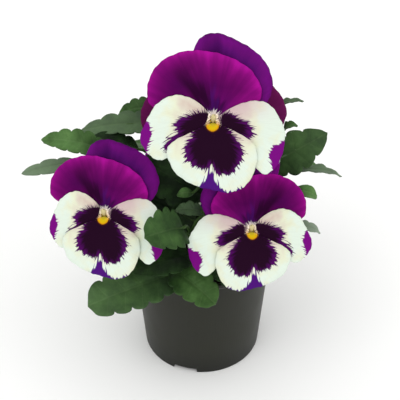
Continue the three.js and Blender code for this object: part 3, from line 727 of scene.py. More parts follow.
def add_tube(bm, points, radii, sides=8, steps=6):
    """A round closed tube along a smooth curve through the points, added to a bmesh. Returns its faces."""
    curve = bpy.data.curves.new("tube", "CURVE")
    curve.dimensions = "3D"
    curve.bevel_depth = 1.0
    curve.bevel_resolution = max(0, sides // 4 - 1)
    curve.resolution_u = steps
    curve.use_fill_caps = True
    spline = curve.splines.new("BEZIER")
    spline.bezier_points.add(len(points) - 1)
    for knot, place, radius in zip(spline.bezier_points, points, radii):
        knot.co = place
        knot.radius = radius
        knot.handle_left_type = knot.handle_right_type = "AUTO"
    holder = bpy.data.objects.new("tube", curve)
    faces = add_mesh(bm, holder.to_mesh())
    holder.to_mesh_clear()
    bpy.data.objects.remove(holder)
    bpy.data.curves.remove(curve)
    return faces


test = bmesh.new()
print("a short tube has", len(add_tube(test, [(0, 0, 0), (0, 0, 9)], (1, 1))), "faces")
test.free()

# %% The beard
BEARD_HAIRS = 90
HAIR_RADIUS = 0.18


def add_hair(bm, root, tip, radius):
    """A tapered hair as a thin cone from root to tip."""
    along = tip - root
    matrix = Matrix.Translation((root + tip) / 2) @ along.to_track_quat("Z", "Y").to_matrix().to_4x4()
    size = dict(radius1=radius, radius2=radius * 0.25, depth=along.length)
    cone = bmesh.ops.create_cone(bm, segments=3, cap_ends=True, matrix=matrix, **size)
    return {face for vert in cone["verts"] for face in vert.link_faces}


def add_beard(bm, side, draw):
    """The tuft of hairs at the throat end of a side petal; side is -1 for the left one."""
    layer = bm.verts.layers.float.new("golden")
    hairs = set()
    for _ in range(BEARD_HAIRS):
        y = draw.uniform(-3.6, 4.0)
        across = draw.uniform(1.9, 3.6 - 0.45 * min(y, 1.0) - 0.2 * max(0.0, y - 1.0))
        root = Vector((side * across, y, 0))
        root.z = petal_height(2, root.x, root.y) + 0.1
        lean = Vector((-side * draw.uniform(0.0, 0.7), draw.uniform(-0.3, 0.8), draw.uniform(0.3, 0.9)))
        made = add_hair(bm, root, root + lean.normalized() * draw.uniform(0.7, 1.5), HAIR_RADIUS)
        for face in made:
            for vert in face.verts:
                vert[layer] = 1 - smoothstep(y, -3.0, 2.0)
        hairs |= made
    return hairs


def beard_material():
    """Glassy hairs, almost white and golden near the eye; their faint glow is painted light that stands in
    for light passing through them.
    """
    material, tree, shader = new_material("white_pansy_beard")
    place = add_node(tree, "TexCoord").outputs["Object"]
    speckle = add_node(tree, "TexNoise", place, Scale=600.0, Detail=2.0)
    white = add_node(tree, "MixRGB", speckle, linear("#FFF6F4"), linear("#EFE6C8"))
    colour = add_node(tree, "MixRGB", "golden", white, linear("#E8C070"))
    # The emission is painted light: the hairs glow a little, in place of the light that passes through them
    # and lifts the shade between them.
    set_inputs(tree, shader, {
        "Base Color": colour, "Emission Color": colour, "Emission Strength": 0.22, "Roughness": 0.5,
        "IOR": 1.5,
    })
    return material


BEARD = beard_material()
print("hairs in a beard:", BEARD_HAIRS)


# %% Finished petals
def stand_for(piece, slot, *nodes):
    """The piece rides on the plant and stands for its solids; slot is not used."""
    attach(piece, "root")
    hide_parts(*nodes)


FIRST_BEARD_SEED = 100
LOOKS = {"upper_right": ("violet", "violet_petal"), "upper_left": ("magenta", "magenta_petal")}

for bloom_number, (bloom_name, bloom) in enumerate(BLOOMS.items()):
    matrix = bloom_matrix(bloom) @ Matrix.Scale(bloom["size"], 4)
    draw = random.Random(FIRST_BEARD_SEED + bloom_number)
    for petal_name, petal in PETALS.items():
        fit = fit_matrix(*bloom["fits"].get(petal_name, AS_DRAWN))
        bm = petal_bmesh(petal_name, petal, fit)
        finish, slot = LOOKS.get(petal_name, ("white", "white_petal"))
        # The rear bloom's purple petals take the magenta in painted shade.
        if bloom_name == "rear" and finish != "white":
            finish = "faded"
        if petal_name == "lower":
            root = petal_height(3, 0, -6.4) - 1.0
            spur = [(0, -6.4, root), (0, -6.4, -4), (0, -7.2, -8), (0, -9.0, -11)]
            add_tube(bm, spur, (1.1, 1.2, 1.1, 0.7))
        if petal_name.startswith("side"):
            for face in add_beard(bm, -1 if petal_name == "side_left" else 1, draw):
                face.material_index = 1
        node = f"bloom_{bloom_name}_{petal_name}_petal"
        piece = finish_mesh(node + "_fine", bm, matrix, [PETAL_FINISHES[finish], BEARD])
        stand_for(piece, slot, node)
    print(bloom_name, "bloom: five petals")

# %% [markdown]
# ## The pistil
#
# In the throat stands the pistil. What shows is its knob, a greenish ball with a small hollow that
# catches pollen, whose darkness is painted shade. Round its neck lean the five anthers, golden, with
# brown tips. The style is a profile spun about its axis, the way a lathe would make it, and the anthers
# are stretched balls set in a ring.


# %% Pistil
STYLE_PROFILE = [
    (0.0, -2.65), (1.25, -2.65), (1.35, -1.6), (1.05, -0.6), (0.75, 0.2), (0.72, 0.7), (1.05, 1.1),
    (1.38, 1.6), (1.5, 2.15), (1.36, 2.7), (1.0, 3.1), (0.5, 3.32), (0.0, 3.4),
]
STYLE_SIDES = 28
ANTHERS = 5
HOLLOW_AT = Vector((0.45, 0.4))  # on the front of the knob


def spin_profile(bm, profile, sides):
    """Adds a closed solid turned about Z, from (radius, height) points, to a bmesh."""
    chain = [bm.verts.new((radius, 0, height)) for radius, height in profile]
    edges = [bm.edges.new(pair) for pair in zip(chain, chain[1:])]
    bmesh.ops.spin(
        bm, geom=chain + edges, cent=(0, 0, 0), axis=(0, 0, 1), angle=2 * math.pi, steps=sides, use_merge=True
    )
    bmesh.ops.remove_doubles(bm, verts=bm.verts[:], dist=1e-4)


def add_anthers(bm, layer):
    """Five flat golden anthers that lean in round the style's neck."""
    for k in range(ANTHERS):
        turn = Matrix.Rotation(2 * math.pi * (k + 0.5) / ANTHERS, 4, "Z")
        lean = Matrix.Translation((0, 1.55, -1.2)) @ Matrix.Rotation(0.25, 4, "X")
        matrix = turn @ lean @ Matrix.Diagonal((0.85, 0.42, 1.35, 1))
        ball = bmesh.ops.create_uvsphere(bm, u_segments=12, v_segments=8, radius=1.0, matrix=matrix)
        for vert in ball["verts"]:
            vert[layer] = 0.01 + 0.99 * smoothstep(vert.co.z, -0.9, 0.0)


def pistil_material():
    material, tree, shader = new_material("greenish_style_and_golden_anthers")
    place = add_node(tree, "TexCoord").outputs["Object"]
    speckle = add_node(tree, "TexNoise", place, Scale=900.0, Detail=3.0)
    skin = add_node(tree, "MixRGB", speckle, linear("#DCD0A0"), linear("#B6A668"))
    gold = add_node(tree, "MixRGB", "anther", linear("#CCAE20"), linear("#A88A20"))
    is_anther = add_node(tree, "Math", "anther", 0.001, operation="GREATER_THAN")
    body = add_node(tree, "MixRGB", is_anther, skin, gold)
    # The hollow is coloured dark: painted shade inside the stigma's opening.
    dark = add_node(tree, "MixRGB", "hollow", body, linear("#4A4418"))
    set_inputs(tree, shader, {"Base Color": dark, "Roughness": 0.45})
    return material


# %% Finished pistils
PISTIL = pistil_material()
for bloom_name, bloom in BLOOMS.items():
    bm = bmesh.new()
    hollow, anther = (bm.verts.layers.float.new(layer) for layer in ("hollow", "anther"))
    spin_profile(bm, STYLE_PROFILE, STYLE_SIDES)
    for vert in bm.verts:
        if vert.co.z > 2.4:
            vert[hollow] = 1 - smoothstep((vert.co.xy - HOLLOW_AT).length, 0.18, 0.42)
            vert.co.z -= 0.35 * vert[hollow]
        lean = max(0.0, vert.co.z - 0.4)
        vert.co.x += 0.12 * lean
        vert.co.y += lean
    add_anthers(bm, anther)
    bmesh.ops.recalc_face_normals(bm, faces=bm.faces)
    for face in bm.faces:
        face.smooth = True
    node = f"bloom_{bloom_name}_pistil"
    matrix = bloom_matrix(bloom) @ Matrix.Translation((0, 0.7, 0))
    stand_for(finish_mesh(node + "_fine", bm, matrix, [PISTIL]), "pistil", node)
print("pistils in", len(BLOOMS), "blooms")

# %% [markdown]
# ## A leaf
#
# A pansy leaf is a long blade with rounded teeth, folded a little on its midrib. The veins leave the
# midrib in pairs, one to each tooth, and the blade swells between them. As with the petals, a grid is
# moved to a surface, and the surface is a formula: an outline along the blade, an arch, a fold, and
# grooves where the veins run. What the material needs travels with the mesh: where each point lies
# between the veins, how far it is from the midrib, and how light and how grey this leaf is.

# %% The leaf's surface
LEAF_COLUMNS = 18
LEAF_ROWS_PER_TOOTH = 12
LEAF_THICKNESS = 0.6
LEAF_FOLD = 0.22  # how much the blade rises for each mm from its midrib
VEIN_GROOVE = (0.3, 0.7)  # depth and half width, mm
MIDRIB_GROOVE = (0.45, 0.6)
RIPPLE = 0.5  # mm, on a leaf 30 mm long
EDGE_WAVE = 0.5
LEAF_LAYERS = ("vein_run", "off_midrib", "tooth_length", "tone", "grey")


def leaf_outline(v, teeth, pointed):
    """Half the width at v along the blade, as a share of the greatest half width."""
    body = math.sin(math.pi * (0.07 + 0.86 * v**0.85)) ** pointed
    scallop = abs(math.sin(math.pi * teeth * v)) ** 0.5
    return body * (1 - 0.22 * (1 - scallop))


def vein_run(x, v, teeth):
    """How many side veins from the base a point lies: whole on a vein."""
    return teeth * v - 0.6 * abs(x) + 0.1


def new_plant_bmesh():
    """An empty bmesh with the layers that the leaf materials read."""
    bm = bmesh.new()
    for name in LEAF_LAYERS:
        bm.verts.layers.float.new(name)
    return bm


def add_blade(bm, base, tip, width, face, arch=3.0, teeth=4, pointed=0.75, tone=0.5, grey=0.0, fine=1.0):
    """One leaf blade. Returns a function from the grid's x, y to the middle of the blade."""
    layers = [bm.verts.layers.float[name] for name in LEAF_LAYERS]
    start = Vector(base)
    along = Vector(tip) - start
    length, ahead = along.length, along.normalized()
    tooth = length / teeth
    up = Vector(face)
    up = (up - ahead * up.dot(ahead)).normalized()
    across = up.cross(ahead)
    seed = start * 0.11

    def surface(x, y):
        v = (y + 1) / 2
        side = width / 2 * leaf_outline(v, teeth, pointed) * -x
        run = vein_run(x, v, teeth)
        off_vein = abs(run - round(run)) * tooth
        groove = VEIN_GROOVE[0] * math.exp(-((off_vein / VEIN_GROOVE[1]) ** 2)) * min(1, 3 * abs(x))
        midrib = MIDRIB_GROOVE[0] * math.exp(-((side / MIDRIB_GROOVE[1]) ** 2))
        ripple = RIPPLE * noise.noise(Vector((side * 0.12, v * length * 0.12, 0)) + seed) * length / 30
        edge_wave = EDGE_WAVE * abs(x) ** 3 * math.sin(2 * math.pi * run + 1.0)
        rise = arch * 4 * v * (1 - v) + LEAF_FOLD * abs(side) - groove - midrib + ripple + edge_wave
        reach = length * (v + 0.05 * (1 - abs(x)) * v**4)
        return start + ahead * reach + across * side + up * rise

    rows = max(6, round(LEAF_ROWS_PER_TOOTH * teeth * fine))
    columns = max(4, 2 * round(LEAF_COLUMNS * fine / 2))
    grid = bmesh.ops.create_grid(bm, x_segments=columns, y_segments=rows, size=1.0)["verts"]
    for vert in grid:
        x, y = vert.co.x, vert.co.y
        v = (y + 1) / 2
        vert.co = surface(x, y)
        side = width / 2 * leaf_outline(v, teeth, pointed) * abs(x)
        # The tone falls towards the leaf's base: painted shade, where the base lies under other leaves.
        shaded = tone * (1.06 - 0.5 * (1 - smoothstep(v, 0.0, 0.6)))
        values = (vein_run(x, v, teeth), side, tooth, shaded, grey * (0.5 + 0.6 * v))
        for layer, value in zip(layers, values):
            vert[layer] = value
    faces = list({face for vert in grid for face in vert.link_faces})
    for face in faces:
        face.smooth = True
    for face in bmesh.ops.solidify(bm, geom=faces, thickness=LEAF_THICKNESS)["geom"]:
        if isinstance(face, bmesh.types.BMFace) and face.normal.dot(up) < 0:
            face.material_index = 1
    return surface


test = new_plant_bmesh()
add_blade(test, (0, 0, 0), (40, 0, 0), 20, (0, 0, 1))
backs = sum(face.material_index for face in test.faces)
print("a leaf has", len(test.faces), "faces,", backs, "of them underneath")
test.free()

# %% [markdown]
# ## What a leaf looks like
#
# The upper skin is deep green and slightly glossy; the veins show as paler lines because they hold less
# green. Underneath the skin is loose and full of air, so it scatters light and looks paler and greyer.
# Young leaves are a fresher green. Leaves deep inside the plant are darker, and every leaf darkens
# towards its base, where it lies under others: both darkenings are painted shade. A leaf that catches
# the sky at a low angle looks grey, and that grey is a painted reflection. The lightness and the grey
# of each leaf are listed in the table further down.


# %% Leaf and stalk materials
def vein_lines(tree, half_width):
    """1 on the side veins and on the midrib of a leaf, 0 between them."""
    nearest = add_node(tree, "Math", "vein_run", operation="ROUND")
    off = add_node(tree, "Math", "vein_run", nearest, operation="SUBTRACT")
    share = add_node(tree, "Math", off, operation="ABSOLUTE")
    off_vein = add_node(tree, "Math", share, "tooth_length", operation="MULTIPLY")
    side, midrib = (
        add_node(tree, "MapRange", off, half_width * 0.3, half_width * end, 1.0, 0.0, **SMOOTH)
        for off, end in ((off_vein, 1.6), ("off_midrib", 2.4))
    )
    faint = add_node(tree, "Math", side, 0.6, operation="MULTIPLY")
    return add_node(tree, "Math", faint, midrib, operation="MAXIMUM")


def leaf_material(name, stops, painted_sky_grey, vein_colour, vein_strength, gloss):
    material, tree, shader = new_material(name)
    place = add_node(tree, "TexCoord").outputs["Object"]
    mottle = add_node(tree, "TexNoise", place, Scale=90.0, Detail=4.0, Roughness=0.6)
    cells = add_node(tree, "TexVoronoi", place, Scale=900.0).outputs["Distance"]
    drift = add_node(tree, "Math", mottle, 0.9, -0.45, operation="MULTIPLY_ADD")
    # The tone is the leaf's lightness: partly its own green, partly painted shade deep in the plant and
    # towards its base.
    light = add_node(tree, "Math", "tone", drift, operation="ADD", use_clamp=True)
    ramp = set_ramp(add_node(tree, "ValToRGB", light), stops)
    # The grey is a painted reflection of the sky on leaves that face it at a low angle.
    greyed = add_node(tree, "MixRGB", "grey", ramp, linear(painted_sky_grey))
    # The veins fade as the lightness falls, so they fade into the painted shade too.
    lit = add_node(tree, "Math", vein_lines(tree, 0.3), light, operation="MULTIPLY")
    strength = add_node(tree, "Math", lit, vein_strength, operation="MULTIPLY")
    veined = add_node(tree, "MixRGB", strength, greyed, linear(vein_colour))
    quilt = add_node(tree, "Bump", Strength=0.5, Distance=-0.5 * MM, Height=vein_lines(tree, 2.2))
    bump = add_node(tree, "Bump", Strength=0.35, Distance=0.15 * MM, Height=cells, Normal=quilt)
    set_inputs(tree, shader, {
        "Base Color": veined, "Normal": bump, "Roughness": gloss, "IOR": 1.42, "Specular IOR Level": 0.14,
    })
    return material


UPPER_GREENS = ((0.0, "#12210F"), (0.3, "#29431F"), (0.55, "#3E5D2E"), (0.8, "#547941"), (1.0, "#6B8F50"))
UNDER_GREENS = ((0.0, "#33462D"), (0.5, "#5C7552"), (1.0, "#8CA07F"))
STALK_GREENS = ((0.0, "#20301A"), (0.5, "#46632F"), (1.0, "#769455"))
# The grey colour of each finish is its painted reflection of the sky.
LEAF_FINISHES = [
    leaf_material("pansy_leaf_upper_skin", UPPER_GREENS, "#8C9A89", "#86A06E", 0.16, 0.5),
    leaf_material("pansy_leaf_underside", UNDER_GREENS, "#87958A", "#A9B79A", 0.7, 0.7),
    leaf_material("pansy_stalk_skin", STALK_GREENS, "#667A63", "#84A35D", 0.0, 0.5),
]
STALK_FINISH = 2
print("leaf finishes:", ", ".join(material.name for material in LEAF_FINISHES))

# %% [markdown]
# ## The stems and their leaves
#
# A pansy branches from its foot into many leafy stems, and each flower stands on a stalk that is hooked
# over behind it. The table lists every stem: its foot in the compost, the points that it passes through
# and its leaves. A leaf is its point on the stem, its blade's base and tip, its width and the way its
# upper side looks, in millimetres, and then what sets it apart. On either side of every leaf stalk a
# real pansy has a small lobed leaflet, a stipule, so each leaf brings its two.

# %% Stems
SOIL_LEVEL = 76
SOCKET_DEPTH = 13
# A leaf's tone is its lightness; the low tones of the leaves deep inside the plant are painted shade, and its
# grey is the weight of a painted reflection of the sky.
STEMS = {
    "flowering_stem_top": ((3, -9), [(3, -12, 100), (5, -18, 128), (6, -20, 155), (6, -19, 176)], [
        ((5, -18, 126), (0, -16, 132), (-35, -13, 156), 31, (0, -0.7, 0.7), dict(tone=0.05)),
        ((3, -13, 104), (-5, -17, 113), (-35, -18, 133), 26, (0, -0.6, 0.8), dict(tone=0.08)),
        ((6, -19.5, 147), (-5.5, -28, 143.8), (-14.5, -28.5, 142.8), 6, (0, -0.6, 0.8),
         dict(teeth=1, tone=0.44)),
    ]),
    "flowering_stem_left": ((-11, -7), [(-19, -10, 98), (-34, -14, 114), (-48, -22, 124)], [
        ((-24, -11, 103), (-34, -4, 102), (-70, -10, 108), 22, (0, -0.3, 1), dict(teeth=3, tone=0.4)),
    ]),
    "flowering_stem_right": ((12, -9), [(15, -13, 94), (21, -19, 108)], [
        ((16, -14, 96), (28, -24, 99), (48, -36, 97), 22, (0, -0.2, 1), dict(teeth=3, tone=0.3)),
        ((13, -11, 86), (8, -27, 92), (20, -50, 88), 19, (0, -0.4, 0.9), dict(tone=0.3)),
    ]),
    "flowering_stem_rear": ((7, 15), [(6, 24, 104), (6, 31, 130)], [
        ((6, 25, 106), (15, 38, 116), (26, 74, 126), 27, (0, 0.3, 1), dict(tone=0.5)),
    ]),
    "leafy_stem_left": ((-19, 6), [(-25, 8, 100), (-33, 9, 122), (-38, 9, 138)], [
        ((-38, 9, 137), (-58, 8, 148), (-96.5, 12, 153.5), 17, (0, -0.4, 0.9),
         dict(arch=4, teeth=5, tone=0.66)),
        ((-35, 9, 128), (-76, 0, 145.5), (-109, 0, 137), 9, (-0.1, -0.6, 0.7),
         dict(arch=2, teeth=3, tone=0.5, grey=0.45)),
    ]),
    "leafy_stem_left_inner": ((-8, 6), [(-12, 14, 104), (-20, 19, 122), (-25, 24, 135)], [
        ((-25, 24, 134), (-20, 31, 151), (-73.8, 30, 148), 16.5, (0, -0.45, 0.9),
         dict(arch=5, teeth=5, tone=0.45, grey=0.22)),
        ((-25, 24, 135), (-27, 42, 156.7), (-51.4, 42, 153.2), 14, (-0.1, -0.5, 0.8), dict(tone=0.48)),
        ((-23, 22, 130), (-40, 22, 139), (-67, 20, 149.5), 12, (0, -0.3, 0.9),
         dict(arch=4, teeth=3, tone=0.1)),
    ]),
    "leafy_stem_right": ((19, 5), [(28, 6, 104), (38, 9, 116), (44, 10, 123)], [
        ((44, 10, 122), (41.6, 17, 130.4), (75, 16, 154.7), 27, (0.1, -0.75, 0.6),
         dict(pointed=0.8, tone=0.43, grey=0.05)),
        ((42, 10, 120), (50.5, 25, 151.5), (58.6, 25, 155.2), 6.5, (0, -0.2, 1), dict(teeth=2, tone=0.55)),
    ]),
    "leafy_stem_right_low": ((22, -4), [(34, -4, 96), (46, -3, 110), (54, -2, 121)], [
        ((52, -2, 118), (57, -5, 128), (70.5, -4, 122), 8, (0, -0.5, 0.9),
         dict(teeth=1, pointed=0.5, tone=0.75)),
        ((47, -3, 111), (57, -14, 107), (73, -14, 101.5), 7.5, (0, -0.3, 1),
         dict(teeth=2, pointed=1.1, tone=0.65, grey=0.9)),
    ]),
    "leafy_stem_front": ((-3, -19), [(-4, -25, 98), (-7, -31, 116)], [
        ((-7, -31, 115), (-11, -50.5, 136), (-31, -68, 144), 26, (0, -0.6, 0.8),
         dict(pointed=0.45, tone=0.37)),
        ((-7, -31, 114), (0.6, -33, 133.3), (-15.1, -30, 132.7), 9.5, (0, -0.4, 0.9),
         dict(teeth=3, tone=0.33, grey=0.15)),
        ((-4, -25, 99), (-7, -34, 100), (-41, -49, 101), 26, (0, -0.3, 1), dict(tone=0.15)),
    ]),
    "leafy_stem_low": ((-13, -15), [(-19, -24, 84), (-22, -30, 88)], [
        ((-22, -29, 87), (-18, -39, 89), (-66, -60, 83.5), 31, (0, -0.5, 0.9),
         dict(teeth=5, pointed=0.4, tone=0.46, grey=0.06)),
        ((-21, -27, 87), (-17, -41, 94), (7, -60, 85.5), 25, (0.2, -0.5, 0.8), dict(pointed=0.5, tone=0.5)),
    ]),
    "leafy_stem_back": ((-2, 25), [(-3, 34, 102), (-6, 44, 122)], [
        ((-6, 44, 121), (-8, 54, 130), (-16, 90, 128), 28, (0, 0.2, 1), dict(arch=5, tone=0.55)),
        ((-4, 38, 108), (-16, 44, 112), (-46, 72, 108), 27, (0, 0.2, 1), dict(teeth=3, tone=0.5)),
        ((-2, 31, 95), (2, 44, 99), (6, 82, 93), 28, (0, 0.3, 1), dict(arch=5, teeth=3, tone=0.4)),
    ]),
    "leafy_stem_back_left": ((-18, 17), [(-27, 22, 98), (-38, 26, 116)], [
        ((-38, 26, 115), (-46, 30, 124), (-84, 42, 130), 26, (0, 0.1, 1), dict(tone=0.55)),
        ((-29, 22, 101), (-36, 32, 100), (-66, 58, 92), 28, (-0.2, 0.2, 1), dict(teeth=3, tone=0.4)),
        ((-30, 23, 102), (-42, 14, 104), (-84, 12, 100), 28, (-0.2, 0, 1), dict(arch=5, tone=0.45)),
    ]),
    "leafy_stem_back_right": ((20, 17), [(30, 24, 102), (38, 31, 126), (40, 33, 142)], [
        ((40, 33, 141), (44, 35, 159), (62, 36, 166), 7, (0, 0.1, 1), dict(teeth=3, tone=0.35, grey=0.2)),
        ((38, 31, 126), (61, 22, 122.5), (87.7, 21, 119), 9, (0, 0, 1),
         dict(teeth=3, pointed=1.3, tone=0.5, grey=0.45)),
        ((37, 30, 121), (45, 33, 118), (76, 45, 108), 26, (0.2, 0.1, 1), dict(tone=0.5)),
        ((28, 22, 97), (33, 36, 100), (54, 68, 96), 28, (0.1, 0.2, 1), dict(teeth=3, tone=0.4)),
    ]),
}
print(len(STEMS), "stems with", sum(len(leaves) for foot, path, leaves in STEMS.values()), "leaves")

# %% Stalks, stipules and leaves
NO_MIDRIB = 10.0  # mm from a midrib, so a stalk shows none
STIPULE_LENGTH = 11
STIPULE_WIDTH = 4.6
STALK_RADII = (0.95, 0.9, 0.9, 0.85, 0.6, 0.45, 0.2)


def dress_stalk(bm, faces, tone):
    """Gives faces the stalk's finish and tone."""
    tone_layer, away = (bm.verts.layers.float[layer] for layer in ("tone", "off_midrib"))
    for face in faces:
        face.smooth = True
        face.material_index = STALK_FINISH
        for vert in face.verts:
            vert[tone_layer] = tone
            vert[away] = NO_MIDRIB


def add_stipules(bm, joint, ahead, tone):
    """The two small lobed leaflets that clasp the stem where a leaf stalk leaves it."""
    for turn in (-50, 50):
        out = Matrix.Rotation(math.radians(turn), 3, "Z") @ Vector((ahead.x, ahead.y, 0))
        if out.length < 0.1:
            continue
        out = out.normalized() + Vector((0, 0, 0.8))
        tip = joint + out.normalized() * STIPULE_LENGTH
        face = Vector((-out.x, -out.y, 1.2))
        add_blade(bm, joint, tip, STIPULE_WIDTH, face, arch=1.0, teeth=2, pointed=0.9, tone=tone, fine=0.5)


def add_leaf(bm, joint, base, tip, width, face, form):
    """A blade with its stalk, which runs on under the blade as its midrib, and its stipules."""
    surface = add_blade(bm, base, tip, width, face, **form)
    stem, start = Vector(joint), Vector(base)
    knee = (stem + start) / 2 + Vector((0, 0, 0.12 * (start - stem).length))
    up = Vector(face).normalized() * 0.7
    under = [surface(0, y) - up for y in (-0.8, -0.4, 0.1, 0.7)]
    stalk = add_tube(bm, [stem, knee, start - up * 0.5, *under], STALK_RADII, 8, 3)
    dress_stalk(bm, stalk, 0.1 + 0.5 * form["tone"])
    add_stipules(bm, stem, start - stem, form["tone"])


# %% Calyx
SEPAL_TURNS = (90, 158, 220, 320, 22)  # degrees round the flower stalk
SEPAL_THICKNESS = 0.5
RECEPTACLE = [(0, -8), (1.2, -8.2), (1.9, -7.8), (3.1, -6.4), (3.9, -5), (4, -3.9), (3.6, -3), (0, -3)]


def bloom_to_plant(bloom):
    """The matrix from a bloom's own mm to the plant's."""
    return Matrix.Scale(1 / MM, 4) @ bloom_matrix(bloom)


def add_calyx(bm, bloom):
    """The green cup behind a bloom and its five sepals."""
    cup = bmesh.new()
    spin_profile(cup, RECEPTACLE, 24)
    for turn in SEPAL_TURNS:
        spin = Matrix.Rotation(math.radians(turn - 90), 3, "Z")
        grid = bmesh.ops.create_grid(cup, x_segments=8, y_segments=16, size=1.0)["verts"]
        for vert in grid:
            x, v = vert.co.x, (vert.co.y + 1) / 2
            half_width = 2.5 * math.sin(math.pi * (0.16 + 0.8 * v)) ** 0.9
            sweep = 2 + 2.5 * math.sin(2.6 * v) - 0.35 * abs(x) + 0.25 * math.exp(-((x / 0.2) ** 2))
            vert.co = spin @ Vector((x * half_width, 1.6 + 15 * bloom["size"] * v, -3 - sweep))
        faces = list({face for vert in grid for face in vert.link_faces})
        bmesh.ops.solidify(cup, geom=faces, thickness=SEPAL_THICKNESS)
    cup.transform(bloom_to_plant(bloom))
    bmesh.ops.recalc_face_normals(cup, faces=cup.faces)
    mesh = bpy.data.meshes.new("calyx")
    cup.to_mesh(mesh)
    cup.free()
    dress_stalk(bm, add_mesh(bm, mesh), 0.4)
    bpy.data.meshes.remove(mesh)


# %% Finished stems
FLOWER_STEM_RADIUS = 1.3
LEAFY_STEM_RADIUS = 2.0

for name, (foot, path, leaves) in STEMS.items():
    bm = new_plant_bmesh()
    bloom = BLOOMS.get(name.removeprefix("flowering_stem_"))
    line = [Vector((*foot, SOIL_LEVEL + rise)) for rise in (-SOCKET_DEPTH, -4, 5)]
    line += [Vector(point) for point in path]
    if bloom:
        line += [bloom_to_plant(bloom) @ Vector((0, 0, behind)) for behind in (-14, -7)]
    radius = FLOWER_STEM_RADIUS if bloom else LEAFY_STEM_RADIUS
    dress_stalk(bm, add_tube(bm, line, [radius] * len(line), 12, 6), 0.5)
    for leaf in leaves:
        add_leaf(bm, *leaf)
    if bloom:
        add_calyx(bm, bloom)
    piece = finish_mesh(name + "_fine", bm, TO_METRES, LEAF_FINISHES)
    stand_for(piece, "foliage", name)
    print(name, len(piece.data.polygons), "faces")

# %% [markdown]
# ## The compost
#
# Potting compost is dark peat with coarse fibres and crumbs. The body is a turned shape whose top is
# lifted by noise into lumps, and a few hundred small crumbs lie on it, each with its own size and turn.

# %% Compost
POT_HEIGHT = 85
POT_RIM_RADIUS = 45
POT_FOOT_RADIUS = 38.3
POT_WALL = 1.3
POT_FLOOR = 4  # how high the underside of the floor stands
SOIL_GAP = 0.2
SOIL_RINGS = 26
SOIL_SIDES = 96
CRUMBS = 420
CRUMBS_REACH = 42  # mm from the middle
CRUMB_SEED = 7


def pot_radius(z):
    """The outer radius of the pot's cone at a height."""
    return POT_FOOT_RADIUS + (POT_RIM_RADIUS - POT_FOOT_RADIUS) * z / POT_HEIGHT


def soil_radius(z):
    """The compost's radius there: just clear of the wall."""
    return pot_radius(z) - POT_WALL - SOIL_GAP


def soil_height(x, y):
    """The height of the compost's top: a low mound with crumbs and lumps that fade to its edge."""
    middle = 1 - (x * x + y * y) / pot_radius(SOIL_LEVEL) ** 2
    crumbs = math.sin(0.7 * x + 1.3) * math.cos(0.8 * y) + 0.6 * math.sin(0.45 * x - 0.6 * y)
    lumps = 0.9 * noise.noise(Vector((x, y, 0)) * 0.35) + 0.5 * noise.noise(Vector((x, y, 7)) * 0.9)
    return SOIL_LEVEL + 2.2 * middle + (0.7 * crumbs + lumps) * min(1, 3 * middle)


def compost_material():
    material, tree, shader = new_material("dark_peat_compost")
    place = add_node(tree, "TexCoord").outputs["Object"]
    grains = add_node(tree, "TexNoise", place, Scale=700.0, Detail=6.0, Roughness=0.7)
    clods = add_node(tree, "TexNoise", place, Scale=160.0, Detail=3.0)
    browns = ((0.3, "#0B0806"), (0.55, "#1E1610"), (0.75, "#40301F"))
    ramp = set_ramp(add_node(tree, "ValToRGB", grains), browns)
    damp = add_node(tree, "MixRGB", clods, ramp, linear("#120D09"))
    bump = add_node(tree, "Bump", Strength=0.8, Distance=0.4 * MM, Height=grains)
    set_inputs(tree, shader, {
        "Base Color": damp, "Normal": bump, "Roughness": 0.95, "Specular IOR Level": 0.15,
    })
    return material


# %% The compost's body and crumbs
bm = bmesh.new()
low = POT_FLOOR + POT_WALL + 0.35
profile = [(0.0, low), (soil_radius(low), low)]
profile += [(soil_radius(SOIL_LEVEL) * (1 - k / SOIL_RINGS), SOIL_LEVEL) for k in range(SOIL_RINGS + 1)]
spin_profile(bm, profile, SOIL_SIDES)
for vert in bm.verts:
    if vert.co.z > SOIL_LEVEL - 1:
        vert.co.z = soil_height(vert.co.x, vert.co.y)
draw = random.Random(CRUMB_SEED)
for _ in range(CRUMBS):
    reach, turn = CRUMBS_REACH * math.sqrt(draw.random()), draw.uniform(0, 2 * math.pi)
    x, y = reach * math.cos(turn), reach * math.sin(turn)
    spun = Matrix.Rotation(draw.uniform(0, 6), 4, "X") @ Matrix.Rotation(draw.uniform(0, 6), 4, "Z")
    stretch = Matrix.Diagonal((draw.uniform(0.7, 1.6), draw.uniform(0.6, 1.2), draw.uniform(0.5, 1.0), 1))
    matrix = Matrix.Translation((x, y, soil_height(x, y) + 0.3)) @ spun @ stretch
    bmesh.ops.create_icosphere(bm, subdivisions=1, radius=draw.uniform(0.5, 1.3), matrix=matrix)
bmesh.ops.recalc_face_normals(bm, faces=bm.faces)
compost = finish_mesh("soil_fine", bm, TO_METRES, [compost_material()])
stand_for(compost, "compost", "soil")
print("compost:", len(compost.data.polygons), "faces")

# %% [markdown]
# ## The nursery pot
#
# The pot is moulded in one piece from recycled black plastic. It is a turned shape with a rolled lip;
# the floor stands on a central disc and the skirt round it has three notches that let water out. The
# notches and the drain holes are cut with a boolean. The plastic is dark grey with a faint grain from
# the mould, dusty on its flat side and darker near the ground.


